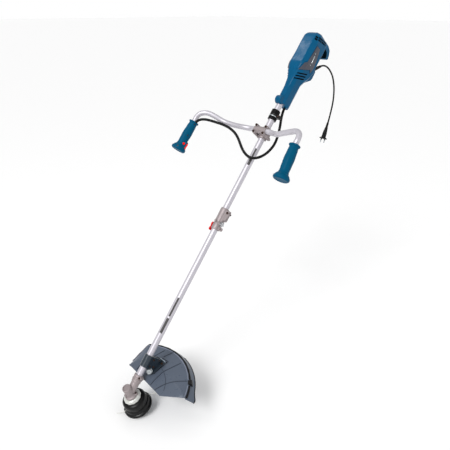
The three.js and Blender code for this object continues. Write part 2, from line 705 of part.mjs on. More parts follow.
// ---- Guard ---------------------------------------------------------------------------------
// The guard is a fan behind the head with a skirt along its rim. Its sections run from the
// front edge, over a crease and the shoulder, to the skirt's foot. Points are [x, rear, up].
const GUARD_STEPS = 20;
const FOOT_BOLTS = [[20.5, 146], [-20.5, 146]];
const GUARD_ARC = [rad(26.5), rad(124)];
const GUARD_FLARE = 19; // how far the skirt's front corner stands out past the rim
const GUARD_FLARE_SHARE = 0.12;
const GUARD_ARC_SHARE = 0.8; // the rest of the steps follow the straight left side
const GUARD_LEFT_END = [-127, 80];
const GUARD_THICK = 3;
const SKIRT_FOOT = -32;
const FRONT_CORNERS = [
  { at: 0, point: [197, 101, 0] },
  { at: 0.25, point: [121, 46, 12] },
  { at: 1, point: [-91, 66, 12] },
];

const mix = (a, b, t) => a.map((v, i) => v + (b[i] - v) * t);

function guardSection(t) {
  const [from, to] = t < FRONT_CORNERS[1].at ? FRONT_CORNERS : FRONT_CORNERS.slice(1);
  const front = mix(from.point, to.point, (t - from.at) / (to.at - from.at));
  const turn = THREE.MathUtils.lerp(...GUARD_ARC, Math.min(t / GUARD_ARC_SHARE, 1));
  const onArc = [GUARD_R * Math.cos(turn), GUARD_R * Math.sin(turn)];
  const side = Math.max(0, (t - GUARD_ARC_SHARE) / (1 - GUARD_ARC_SHARE));
  const rim = mix(onArc, GUARD_LEFT_END, side);
  const inward = (distance) => {
    const share = 1 - distance / Math.hypot(...rim);
    return [rim[0] * share, rim[1] * share];
  };
  const shoulder = [...inward(19), -3];
  const crease = mix(front, shoulder, 0.5);
  crease[2] += 6;
  const flare = GUARD_FLARE * Math.max(0, 1 - t / GUARD_FLARE_SHARE) ** 2;
  const foot = [...inward(-flare), SKIRT_FOOT];
  const lowered = (point, depth) => [point[0], point[1], point[2] - depth];
  return [
    front, crease, shoulder, foot,
    [...inward(GUARD_THICK - flare), SKIRT_FOOT],
    [...inward(19 + 0.6 * GUARD_THICK), -3 - GUARD_THICK],
    lowered(crease, GUARD_THICK),
    lowered(front, GUARD_THICK),
  ];
}

// The line cutter's blade is set through a window in the skirt.
const CUTTER_TURN = rad(45);

function cutterBlock(grow) {
  const geometry = new THREE.BoxGeometry(17 + 2 * grow, 20 + 2 * grow, 16 + 2 * grow);
  geometry.translate(GUARD_R - 16.5, 0, -10);
  return solid(geometry.rotateZ(CUTTER_TURN));
}

function addGuard(group) {
  const sections = Array.from({ length: GUARD_STEPS + 1 }, (_, i) => guardSection(i / GUARD_STEPS));
  const holes = FOOT_BOLTS.map(([x, y]) => rod(2.6, -10, 60, 12, x, y));
  const notch = bar(21, inGuardFrame(0, 0, 10), inGuardFrame(0, 0, 92), 18);
  add(group, "guard", cut(lofted(sections), ...holes, notch, cutterBlock(GAP)), guardGrey);
  const blade = new THREE.BoxGeometry(3, 18, 22);
  blade.translate(GUARD_R - 25, 0, -22).rotateZ(CUTTER_TURN);
  add(group, "line_cutter", join(cutterBlock(0), solid(blade)), darkSteel);
}

// The strap goes over the tube and its cheeks hold the arm between them. The arm's foot lies on
// the guard.
const BRACKET_SPAN = [99, 148]; // along the shaft, from the point where the axes meet
const FOOT_UP = 17;
const ARM_HALF = 11;
const CHEEK_THICK = 3;
const CROSS_BOLTS = { clamp_bolt_upper: [123, 63], clamp_bolt_lower: [110, 34] };

function addGuardBracket(group) {
  const [low, high] = BRACKET_SPAN;
  const inLine = (xs, ys, zs) => solid(boxGeometry(xs, ys, zs).rotateX(-rad(GUARD_ANGLE)));
  const tubeRoom = bar(
    TUBE_R + GAP,
    inGuardFrame(0, 0, low - 20),
    inGuardFrame(0, 0, high + 20),
    20,
  );
  const holes = Object.values(CROSS_BOLTS).map(([y, z]) => bar(2.8, [-30, y, z], [30, y, z], 12));
  const hoop = bar(17.5, inGuardFrame(0, 0, low), inGuardFrame(0, 0, high), 20);
  const CHEEK = [[80, 57], [121, 85.5], [155, 27], [150, 22], [100, 22], [89, 38]];
  const inside = ARM_HALF + GAP;
  const cheeks = [
    sidePlate(CHEEK, inside, inside + CHEEK_THICK),
    sidePlate(CHEEK, -inside - CHEEK_THICK, -inside),
  ];
  const armRoom = inLine([-inside, inside], [-GAP / 2, 60], [0, 300]);
  const strap = cut(join(hoop, ...cheeks), armRoom, tubeRoom, ...holes);
  add(group, "guard_clamp_cap", strap, bracketBlue);
  const WEB = [[80, 56], [121, 84], [158, 20], [158, FOOT_UP], [96, FOOT_UP], [88, 36]];
  const web = sidePlate(WEB, -ARM_HALF, ARM_HALF);
  const foot = block([-27, 27], [94, 160], [FOOT_UP, FOOT_UP + 4]);
  const footHoles = FOOT_BOLTS.map(([x, y]) => rod(2.6, 0, 60, 12, x, y));
  const above = inLine([-60, 60], [-60, GAP / 2], [0, 300]);
  const arm = cut(join(web, foot), above, tubeRoom, ...holes, ...footHoles);
  add(group, "guard_bracket", arm, bracketBlue);
  const outside = inside + CHEEK_THICK + GAP;
  Object.entries(CROSS_BOLTS).forEach(([name, [y, z]]) => {
    const bolt = join(
      bar(2.5, [-outside - 2, y, z], [outside + 2, y, z], 12),
      bar(4.5, [outside, y, z], [outside + 3.2, y, z], 12),
      bar(5, [-outside - 4, y, z], [-outside, y, z], 6),
    );
    add(group, name, bolt, darkSteel);
  });
  FOOT_BOLTS.forEach(([x, y]) => {
    const shank = rod(2.3, 2, FOOT_UP + 8, 10, x, y);
    const head = rod(4.5, FOOT_UP + 4 + GAP, FOOT_UP + 8, 12, x, y);
    add(group, x > 0 ? "foot_bolt_left" : "foot_bolt_right", join(shank, head), darkSteel);
  });
}

// ---- Cutting head --------------------------------------------------------------------------
const LINE_Z = -74;
const LINE_ROUTE = [[12, 39], [14.2, 49], [18.5, 59], [26.5, 68.5], [38.5, 78.5]];

function addHead(group) {
  const spindle = turned([
    [0, 25], [SPINDLE_R, 25], [SPINDLE_R, -46], [4, -47], [4, -65], [0, -65],
  ], 16);
  add(group, "output_spindle", spindle, steel);
  const bore = SPINDLE_R + GAP;
  const halfTooth = Math.PI / GEAR_TEETH;
  const gear = bevelGear(GEAR_TEETH, GEAR_CONE, Math.PI / 2 + halfTooth, bore);
  add(group, "crown_gear", gear, steel);
  const cup = turned([
    [bore, -15], [25, -15], [31, -17.5], [34.5, -22], [35.2, -28], [33, -28], [31.5, -22], [bore, -22],
    [bore, -15],
  ], 22);
  add(group, "flange_cup", cup, zinc);
  const housing = turned([
    [bore, -22.3], [30, -22.3], [31, -30], [40, -32], [46, -38], [48, -45], [48, -57], [46, -60],
    [44, -62], [40, -62], [40, -44], [bore, -44], [bore, -22.3],
  ], 22);
  add(group, "spool_housing", housing, black);
  const cover = turned([
    [40, -62.3], [45, -62.3], [49.5, -66], [51.5, -79], [57.8, -84], [57.8, -88], [55, -90],
    [26.3, -90], [26.3, -87], [49, -87], [47, -68], [40, -65], [40, -62.3],
  ], 22);
  const lineAt = (side, r) =>
    swept(LINE_ROUTE.map(([x, y]) => [side * x, side * y, LINE_Z]), r, 8, 8);
  add(group, "spool_cover", cut(cover, lineAt(-1, 2.2), lineAt(1, 2.2)), black);
  const spool = turned([
    [4.3, -48], [36, -48], [36, -51], [20, -51], [20, -81], [36, -81], [36, -84], [15.5, -84],
    [15.5, -66.5], [4.3, -66.5], [4.3, -48],
  ], 20);
  add(group, "line_spool", spool, black);
  const knob = turned([
    [0, -80], [9, -80], [9, -93], [25.5, -93], [25.5, -98], [22, -103], [14, -106], [0, -106],
  ], 18);
  add(group, "bump_knob", knob, black);
  const turns = 3;
  const coil = Array.from({ length: 8 * turns + 1 }, (_, i) => {
    const turn = (Math.PI * i) / 4;
    return [12.2 * Math.cos(turn), 12.2 * Math.sin(turn), -91.5 + (23.4 * i) / (8 * turns)];
  });
  add(group, "bump_spring", swept(coil, 1, 5, 36), steel);
  add(group, "cutting_line_front", lineAt(-1, LINE_R), nylonLine);
  add(group, "cutting_line_rear", lineAt(1, LINE_R), nylonLine);
}

addHousing(shaftLine);
addSupplyCord(shaftLine);
addControlCable(shaftLine);
addMotor(shaftLine);
addRotor(shaftLine);
addUpperShaft(shaftLine);
addDriveShafts(shaftLine);
addBarClamp(shaftLine);
addHandlebar(shaftLine);
addGrips(shaftLine);
addCoupling(shaftLine);
add(shaftLine, "lower_tube", ring(TUBE_R, TUBE_R - TUBE_WALL, ...LOWER_TUBE), tubeSilver);
addPinion(shaftLine);
addGearbox(headFrame);
addGuard(guardFrame);
addGuardBracket(guardFrame);
addHead(headFrame);

export default trimmer;
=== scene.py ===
"""Electric string trimmer: the shown pieces, their materials, the floor, the lights and the camera.

Shapes are made in millimetres in the frames of the CAD part and placed in the row frame, in metres.
"""

import math

import bmesh
import bpy
from mathutils import Matrix, Quaternion, Vector
from mathutils.bvhtree import BVHTree


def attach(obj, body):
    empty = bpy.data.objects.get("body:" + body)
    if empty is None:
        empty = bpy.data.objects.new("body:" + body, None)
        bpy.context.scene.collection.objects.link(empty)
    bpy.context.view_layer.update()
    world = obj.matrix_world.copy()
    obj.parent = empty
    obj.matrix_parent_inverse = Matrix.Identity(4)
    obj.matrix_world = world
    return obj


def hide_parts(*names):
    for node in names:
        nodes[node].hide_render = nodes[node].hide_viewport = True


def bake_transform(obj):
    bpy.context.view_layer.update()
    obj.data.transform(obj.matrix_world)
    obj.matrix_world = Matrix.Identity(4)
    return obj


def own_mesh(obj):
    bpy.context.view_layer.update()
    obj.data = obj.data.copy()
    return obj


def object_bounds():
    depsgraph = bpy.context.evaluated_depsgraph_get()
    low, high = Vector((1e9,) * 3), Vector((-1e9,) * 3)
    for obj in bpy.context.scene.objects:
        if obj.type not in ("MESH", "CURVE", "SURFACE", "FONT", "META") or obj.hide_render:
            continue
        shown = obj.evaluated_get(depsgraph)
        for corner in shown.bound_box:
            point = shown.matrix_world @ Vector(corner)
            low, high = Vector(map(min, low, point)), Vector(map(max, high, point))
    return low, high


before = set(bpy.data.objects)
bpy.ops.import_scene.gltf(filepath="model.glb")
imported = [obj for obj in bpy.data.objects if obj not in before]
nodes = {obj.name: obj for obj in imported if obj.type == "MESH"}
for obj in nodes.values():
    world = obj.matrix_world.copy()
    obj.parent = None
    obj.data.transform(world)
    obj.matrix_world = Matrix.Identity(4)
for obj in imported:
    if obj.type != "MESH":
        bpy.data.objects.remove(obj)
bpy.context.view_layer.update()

# ---- Frames, the same as the CAD part's ------------------------------------------------------
# In the shaft line z runs towards the motor, y to the underside and x to the operator's left.
MM = 0.001
HARNESS_Z = 86
HEAD_Z = -1162
GUARD_Z = -1148
SHAFT_TURN = math.radians(-40)
HEAD_TURN = math.radians(62)
GUARD_TURN = math.radians(55)


def turn_x(angle):
    return Matrix.Rotation(angle, 4, "X")


def shift(x, y, z):
    return Matrix.Translation((x, y, z))


SHAFT = Matrix.Scale(MM, 4) @ turn_x(SHAFT_TURN) @ shift(0, 0, -HARNESS_Z)
HEAD = SHAFT @ shift(0, 0, HEAD_Z) @ turn_x(HEAD_TURN)
GUARD = SHAFT @ shift(0, 0, GUARD_Z) @ turn_x(GUARD_TURN)

# The ends of the left grip's axis. The switch grip's are mirrored.
GRIP_TOP = (268, -132.5, -71)
GRIP_END = (279, -130, -203)


def grip_frame(side):
    """The frame of the left grip, side 1, or of the switch grip, side -1, with z up its axis."""
    top = Vector((side * GRIP_TOP[0], GRIP_TOP[1], GRIP_TOP[2]))
    end = Vector((side * GRIP_END[0], GRIP_END[1], GRIP_END[2]))
    turn = Vector((0, 0, 1)).rotation_difference(top - end)
    return SHAFT @ shift(*top) @ turn.to_matrix().to_4x4()


# ---- Camera ----------------------------------------------------------------------------------
CAMERA_AT = (1.31005, -1.60614, 0.41563)
CAMERA_LOOK = (-0.64392, 0.64998, -0.40361)
CAMERA_ROLL = math.radians(0.28)
LENS = 39.67


def aimed(name, data, at, way):
    """A camera or a lamp at a place, looking along a direction."""
    made = bpy.data.objects.new(name, data)
    made.location = at
    made.rotation_mode = "QUATERNION"
    made.rotation_quaternion = Vector(way).to_track_quat("-Z", "Y")
    bpy.context.scene.collection.objects.link(made)
    return made


camera_data = bpy.data.cameras.new("camera")
camera_data.lens = LENS
camera_data.sensor_width = 36
camera_data.clip_start = 0.01
camera_data.clip_end = 200
camera = aimed("camera", camera_data, CAMERA_AT, CAMERA_LOOK)
camera.rotation_quaternion = camera.rotation_quaternion @ Quaternion((0, 0, 1), CAMERA_ROLL)
bpy.context.scene.camera = camera


# ---- Materials -------------------------------------------------------------------------------
def linear(code):
    """A colour given as six hexadecimal digits, as linear red, green, blue, alpha."""
    parts = [int(code[i : i + 2], 16) / 255 for i in (0, 2, 4)]
    curve = [c / 12.92 if c <= 0.04045 else ((c + 0.055) / 1.055) ** 2.4 for c in parts]
    return (*curve, 1)


def shaded(colour, factor):
    return (*[min(1, c * factor) for c in colour[:3]], 1)


class Nodes:
    """Adds nodes to a material's tree and links them."""

    def __init__(self, tree):
        self.tree = tree
        self.coordinates = tree.nodes.new("ShaderNodeTexCoord").outputs["Object"]

    def add(self, kind, inputs=None, **settings):
        node = self.tree.nodes.new(kind)
        for name, value in settings.items():
            setattr(node, name, value)
        for name, value in (inputs or {}).items():
            if isinstance(value, bpy.types.NodeSocket):
                self.tree.links.new(value, node.inputs[name])
            else:
                node.inputs[name].default_value = value
        return node

    def noise(self, scale, detail=3, vector=None):
        inputs = {"Vector": vector or self.coordinates, "Scale": scale, "Detail": detail}
        return self.add("ShaderNodeTexNoise", inputs).outputs["Fac"]

    def ranged(self, value, from_low, from_high, to_low, to_high):
        inputs = {
            "Value": value, "From Min": from_low, "From Max": from_high, "To Min": to_low, "To Max": to_high,
        }
        return self.add("ShaderNodeMapRange", inputs).outputs["Result"]

    def mix(self, factor, first, second):
        node = self.add("ShaderNodeMix", data_type="RGBA")
        for index, value in ((0, factor), (6, first), (7, second)):
            if isinstance(value, bpy.types.NodeSocket):
                self.tree.links.new(value, node.inputs[index])
            else:
                node.inputs[index].default_value = value
        return node.outputs[2]

    def bump(self, height, strength, distance, normal=None):
        inputs = {"Height": height, "Strength": strength, "Distance": distance}
        if normal:
            inputs["Normal"] = normal
        return self.add("ShaderNodeBump", inputs).outputs["Normal"]


# Scales of the noise in every material, per metre.
RUB_NOISE = 190
SMUDGE_NOISE = 60


def finish_of(
    name, code, roughness, metallic=0.0, specular=0.5, tint=0.07, patch=28, uneven=0.05,
    grain=1400, bump=0.12, depth=0.00012, rub=0.35, light=1.35, brushed=None, specks=None,
):
    """A surface with uneven colour, fine grain in its bump and roughness, and rubbed edges.

    Tint is how far the colour wanders, over patches of scale patch, and uneven is the same for roughness.
    Rub is how far an edge goes towards light times the colour.
    Brushed is (scale across, scale along) for lines that run along the shaft.
    Specks is (colour, scale, share) for spots of another colour, such as rust.
    """
    made = bpy.data.materials.new(name)
    made.use_nodes = True
    tree = made.node_tree
    shader = tree.nodes["Principled BSDF"]
    kit = Nodes(tree)
    colour = linear(code)
    broad = kit.noise(patch, 4)
    fine = kit.noise(grain, 4)
    blotch = kit.ranged(broad, 0.3, 0.7, 0, 1)
    base = kit.mix(blotch, shaded(colour, 1 - tint), shaded(colour, 1 + tint))
    fine_tint = kit.ranged(fine, 0.35, 0.65, 0, 0.5 * tint)
    base = kit.mix(fine_tint, base, shaded(colour, 0.6))
    if specks:
        speck_code, speck_scale, share = specks
        spots = kit.ranged(kit.noise(speck_scale, 6), 1 - share, 1.08 - share, 0, 0.85)
        base = kit.mix(spots, base, linear(speck_code))
    edge = kit.add("ShaderNodeNewGeometry").outputs["Pointiness"]
    worn = kit.ranged(edge, 0.53, 0.62, 0, rub)
    patchy = kit.add("ShaderNodeMath", operation="MULTIPLY")
    tree.links.new(worn, patchy.inputs[0])
    tree.links.new(kit.ranged(kit.noise(RUB_NOISE, 3), 0.4, 0.6, 0.3, 1), patchy.inputs[1])
    base = kit.mix(patchy.outputs[0], base, shaded(colour, light))
    tree.links.new(base, shader.inputs["Base Color"])
    smudges = kit.ranged(kit.noise(SMUDGE_NOISE, 5), 0.3, 0.7, roughness - uneven, roughness + uneven)
    tree.links.new(smudges, shader.inputs["Roughness"])
    normal = kit.bump(fine, bump, depth)
    if brushed:
        across, along = brushed
        turned = kit.add(
            "ShaderNodeMapping",
            {"Vector": kit.coordinates, "Rotation": (-SHAFT_TURN, 0, 0), "Scale": (across, across, along)},
        )
        lines = kit.noise(1, 2, turned.outputs["Vector"])
        normal = kit.bump(lines, 0.04, 0.00002, normal)
    tree.links.new(normal, shader.inputs["Normal"])
    shader.inputs["Metallic"].default_value = metallic
    shader.inputs["Specular IOR Level"].default_value = specular
    return made


BLUE = finish_of(
    "blue_moulded_plastic", "004f75", 0.22, grain=600, specular=0.12, bump=0.01, tint=0.04, rub=0.45,
)
DEEP_BLUE = finish_of("blue_plastic_in_shade", "03222f", 0.5, specular=0.15, bump=0.1)
GRIP = finish_of(
    "grip_plastic", "004d6c", 0.42, grain=2200, bump=0.25, depth=0.0001, rub=0.2, specular=0.05, tint=0.04,
)
BADGE = finish_of(
    "grey_plate_plastic", "454751", 0.34, metallic=0.2, grain=900, bump=0.06, specular=0.3, tint=0.03,
)
# Near-black painted shade for the casing's inner walls, cord room, air slots and vents, in place of the blue plastic
# there.
INSIDE_SHADE = finish_of("casing_inside_shade", "030405", 0.8, bump=0.2, specular=0.1)
BLACK = finish_of("black_plastic", "101011", 0.42, grain=1800, bump=0.25, light=2.2, specular=0.25)
SPOOL_BLACK = finish_of(
    "spool_plastic", "070708", 0.3, grain=1500, bump=0.15, light=2.4, specular=0.25, specks=("1c1c1a", 420, 0.25),
)
RUBBER = finish_of("cable_rubber", "060607", 0.5, grain=1600, bump=0.3, depth=0.0002, light=1.8, specular=0.18)
RED = finish_of("red_plastic", "f81400", 0.36, specular=0.08, bump=0.05, tint=0.03)
LEVER_RED = finish_of("lever_red_plastic", "cc1216", 0.36, specular=0.1, bump=0.06, tint=0.04)
GUARD_PLASTIC = finish_of(
    "guard_plastic", "545d6b", 0.3, grain=1800, bump=0.04, depth=0.00006, specular=0.35, uneven=0.04, tint=0.02,
    patch=9, rub=0.15,
)
# Darker than the guard: painted shade, for the look of grooves along the guard's ribs.
GROOVE_SHADE = finish_of("guard_groove_shade", "333a45", 0.4, grain=1500, bump=0.05, specular=0.3, tint=0.03)
SEAM = finish_of("seam_rubber", "090a0c", 0.5, grain=1300, bump=0.3, specular=0.2)
BRACKET = finish_of("bracket_paint", "212b34", 0.3, grain=1500, bump=0.08, light=2.0, specular=0.45, tint=0.05)
TUBE = finish_of(
    "silver_tube", "c1bec5", 0.42, metallic=0.45, grain=2600, bump=0.01, depth=0.00002, tint=0.015,
    uneven=0.03, rub=0.0, brushed=(900, 8), specular=0.4,
)
CAST = finish_of(
    "cast_alloy", "9b9192", 0.52, metallic=0.5, grain=1500, bump=0.35, depth=0.0002, tint=0.05, light=1.3,
    specks=("6b605e", 700, 0.33), specular=0.4,
)
STEEL = finish_of("turned_steel", "8c8c90", 0.3, metallic=1.0, grain=2400, bump=0.12)
DARK_STEEL = finish_of(
    "dark_screw_steel", "43332d", 0.4, metallic=0.6, grain=1500, bump=0.3, specular=0.3,
    specks=("6a3c22", 600, 0.4),
)
CHROME = finish_of(
    "bright_knob_plate", "b2b3b6", 0.16, metallic=1.0, grain=2000, bump=0.08, tint=0.04, uneven=0.04,
)
ZINC = finish_of("zinc_plate", "b4babd", 0.26, metallic=0.85, grain=2000, bump=0.1, tint=0.04)
FLANGE = finish_of("bright_flange", "c9cac6", 0.34, metallic=0.25, grain=1500, bump=0.05, tint=0.03)
# Light blue-grey: a painted highlight along the top edge of the bracket foot's upturned lip.
LIP_HIGHLIGHT = finish_of("edge_highlight", "a9b7c4", 0.3, metallic=0.5, grain=1500, bump=0.1, tint=0.05)
# A light strip just inside the guard's seam: a painted highlight along the shoulder.
CREST_HIGHLIGHT = finish_of("guard_crest_highlight", "868b9c", 0.3, grain=1500, bump=0.04, specular=0.4, tint=0.03)
COPPER = finish_of("copper_winding", "a8663e", 0.35, metallic=0.9, grain=900, bump=0.3)
NYLON = finish_of("nylon_line", "d6d6ce", 0.35, grain=1800, bump=0.2)
LABEL = finish_of("dark_label", "353333", 0.5, grain=900, bump=0.1, tint=0.12, specks=("77747a", 260, 0.36))

CAD_LOOKS = {
    STEEL: (
        "armature", "front_bearing", "rear_bearing", "upper_drive_shaft", "lower_drive_shaft", "pinion",
        "spindle_bearing", "output_spindle", "crown_gear",
    ),
    COPPER: ("stator",),
    BLACK: ("cooling_fan", "line_spool", "harness_band", "line_cutter"),
    CAST: ("locating_pin",),
    NYLON: ("cutting_line_front", "cutting_line_rear"),
}
CAD_BEVEL = 0.0003


def dress_cad_nodes():
    """Gives the CAD nodes that stay their material and rounded edges with hardened normals."""
    for look, names in CAD_LOOKS.items():
        for name in names:
            node = nodes[name]
            for slot in node.material_slots:
                slot.material = look
            bevel = node.modifiers.new("rounded", "BEVEL")
            bevel.width = CAD_BEVEL
            bevel.segments = 2
            bevel.limit_method = "ANGLE"
            bevel.angle_limit = math.radians(40)
            bevel.harden_normals = True


# ---- Shapes, in millimetres ------------------------------------------------------------------
def shape(points, faces, look=None):
    mesh = bpy.data.meshes.new("shape")
    mesh.from_pydata([tuple(p) for p in points], [], faces)
    work = bmesh.new()
    work.from_mesh(mesh)
    bmesh.ops.recalc_face_normals(work, faces=work.faces)
    work.to_mesh(mesh)
    work.free()
    if look:
        mesh.materials.append(look)
    made = bpy.data.objects.new("shape", mesh)
    bpy.context.scene.collection.objects.link(made)
    return made


def full_turn(count):
    """Angles evenly spaced round a circle."""
    return [2 * math.pi * i / count for i in range(count)]


def polar(r, turn):
    return r * math.cos(turn), r * math.sin(turn)


def moved(made, matrix):
    made.data.transform(matrix)
    return made


def applied(made, kind, **settings):
    """The shape with one modifier applied."""
    modifier = made.modifiers.new("step", kind)
    for name, value in settings.items():
        setattr(modifier, name, value)
    view = bpy.context.evaluated_depsgraph_get()
    mesh = bpy.data.meshes.new_from_object(made.evaluated_get(view))
    made.modifiers.clear()
    made.data = mesh
    return made


def combined(made, operation, tools):
    for tool in tools:
        applied(made, "BOOLEAN", object=tool, operation=operation, solver="EXACT", material_mode="TRANSFER")
        bpy.data.objects.remove(tool)
    return made


def join(first, *rest):
    return combined(first, "UNION", rest)


def cut(made, *tools):
    return combined(made, "DIFFERENCE", tools)


def common(made, *tools):
    return combined(made, "INTERSECT", tools)


def copied(made):
    twin = made.copy()
    twin.data = made.data.copy()
    bpy.context.scene.collection.objects.link(twin)
    return twin


def rounded(made, width, segments=3, angle=35):
    return applied(
        made, "BEVEL", width=width, segments=segments, limit_method="ANGLE",
        angle_limit=math.radians(angle), use_clamp_overlap=True,
    )


def cast(made, voxel=0.8, passes=5):
    """Melts the joins of a shape into the fillets of a casting."""
    applied(made, "REMESH", mode="VOXEL", voxel_size=voxel)
    return applied(made, "SMOOTH", factor=0.5, iterations=passes)


def loft(rings, look=None):
    """A closed skin through rings of equal point counts."""
    count = len(rings[0])
    points = [p for ring in rings for p in ring]
    faces = []
    for k in range(len(rings) - 1):
        for i in range(count):
            j = (i + 1) % count
            faces.append((k * count + i, k * count + j, (k + 1) * count + j, (k + 1) * count + i))
    faces.append(tuple(range(count)))
    faces.append(tuple(range(len(points) - count, len(points))))
    return shape(points, faces, look)


def turned(profile, sides=72):
    """A profile of (radius, z) turned about z. It starts and ends on the axis, or closes on itself."""
    ring_shaped = profile[0] == profile[-1]
    profile = profile[:-1] if ring_shaped else profile
    points = []
    rows = []
    for r, z in profile:
        if r == 0:
            rows.append([len(points)] * sides)
            points.append((0, 0, z))
            continue
        rows.append(list(range(len(points), len(points) + sides)))
        points += [(*polar(r, t), z) for t in full_turn(sides)]
    pairs = list(zip(rows, rows[1:]))
    if ring_shaped:
        pairs.append((rows[-1], rows[0]))
    faces = []
    for low, high in pairs:
        for i in range(sides):
            j = (i + 1) % sides
            corners = list(dict.fromkeys([low[i], low[j], high[j], high[i]]))
            if len(corners) > 2:
                faces.append(corners)
    return shape(points, faces)


def along(a, b):
    """The matrix that takes z from the origin to the line from a to b."""
    start, end = Vector(a), Vector(b)
    turn = Vector((0, 0, 1)).rotation_difference(end - start)
    return Matrix.Translation(start) @ turn.to_matrix().to_4x4()


def rod(r, a, b, sides=48, edge=0.0):
    """A round bar from a to b. Edge is the width of the chamfers at its ends."""
    length = (Vector(b) - Vector(a)).length
    profile = [(0, 0), (r - edge, 0), (r, edge), (r, length - edge), (r - edge, length), (0, length)]
    if not edge:
        profile = [(0, 0), (r, 0), (r, length), (0, length)]
    return moved(turned(profile, sides), along(a, b))


def sleeve(outer, inner, low, high, sides=72, edge=0.4):
    return turned(
        [
            (inner, low), (outer - edge, low), (outer, low + edge), (outer, high - edge),
            (outer - edge, high), (inner, high), (inner, low),
        ],
        sides,
    )


def box(xs, ys, zs):
    points = [(x, y, z) for x in xs for y in ys for z in zs]
    faces = [(0, 1, 3, 2), (4, 6, 7, 5), (0, 4, 5, 1), (2, 3, 7, 6), (0, 2, 6, 4), (1, 5, 7, 3)]
    return shape(points, faces)


def side_plate(outline, x0, x1):
    """An outline of (y, z) points with thickness from x0 to x1."""
    return loft([[(x, y, z) for y, z in outline] for x in (x0, x1)])


def level_plate(outline, half):
    """An outline of (x, z) points with half a thickness to each side of y 0."""
    return loft([[(x, y, z) for x, z in outline] for y in (-half, half)])


SPAN_STEPS = 24


def smooth_route(points, steps):
    """Points evenly spaced along a Catmull-Rom curve through the given points."""
    line = [Vector(p) for p in points]
    line = [2 * line[0] - line[1], *line, 2 * line[-1] - line[-2]]
    dense = []
    for a, b, c, d in zip(line, line[1:], line[2:], line[3:]):
        for i in range(SPAN_STEPS):
            t = i / SPAN_STEPS
            dense.append(
                0.5 * (2 * b + (c - a) * t + (2 * a - 5 * b + 4 * c - d) * t * t
                       + (3 * b - a - 3 * c + d) * t ** 3)
            )
    dense.append(line[-2])
    lengths = [0.0]
    for p, q in zip(dense, dense[1:]):
        lengths.append(lengths[-1] + (q - p).length)
    route = []
    k = 0
    for i in range(steps + 1):
        target = lengths[-1] * i / steps
        while k < len(dense) - 2 and lengths[k + 1] < target:
            k += 1
        span = lengths[k + 1] - lengths[k]
        route.append(dense[k].lerp(dense[k + 1], (target - lengths[k]) / span))
    return route


def tube(route, radius, sides=32):
    """A round tube along the points. Radius is a number, or one for each point."""
    radii = radius if isinstance(radius, list) else [radius] * len(route)
    rings = []
    tangent = (route[1] - route[0]).normalized()
    across = tangent.orthogonal().normalized()
    for i, point in enumerate(route):
        ahead = route[min(i + 1, len(route) - 1)]
        behind = route[max(i - 1, 0)]
        fresh = (ahead - behind).normalized()
        across = tangent.rotation_difference(fresh) @ across
        tangent = fresh
        across = (across - tangent * across.dot(tangent)).normalized()
        side = tangent.cross(across)
        rings.append(
            [point + radii[i] * (math.cos(t) * across + math.sin(t) * side) for t in full_turn(sides)]
        )
    return loft(rings)


def piece(made, name, place, body, look, stands_for=(), angle=32):
    """Names a shape, places it in the row frame and lets it ride on its body.

    A shape with no look keeps the materials that it was cut from.
    """
    made.name = name
    made.data.name = name
    made.data.transform(place)
    if look:
        made.data.materials.clear()
        made.data.materials.append(look)
    made.data.shade_smooth()
    made.data.set_sharp_from_angle(angle=math.radians(angle))
    if body:
        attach(made, body)
    if stands_for:
        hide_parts(*stands_for)
    return made


def evened(made):
    """Shades large faces flat and keeps the turn of the normals to the bevels between them."""
    weighted = made.modifiers.new("weighted", "WEIGHTED_NORMAL")
    weighted.keep_sharp = True
    return made


# ---- Supply cord -----------------------------------------------------------------------------
CORD_R = 3.6
CORD_PLANE = 10
CORD_EXIT = (CORD_PLANE, 71, 359.5)
GLAND_TIP = (CORD_PLANE, 112, 410.5)
CORD_ROUTE = [
    (CORD_PLANE, y, z)
    for y, z in (
        (112.2, 410.8), (120, 419.5), (134, 430), (151, 437.5), (171, 441.5), (190, 442), (209, 440),
        (227, 435.5), (244, 428), (261, 418), (277, 406), (292, 391.5), (306, 375), (318, 357),
        (329, 336), (339, 314), (348, 292), (354.5, 275),
    )
]
PLUG_END = (CORD_PLANE, 378, 200)
CORD_STEPS = 90
BOOT_GROOVE = 1.1
PLUG_GROOVE = 0.8
PIN_X = 9.5


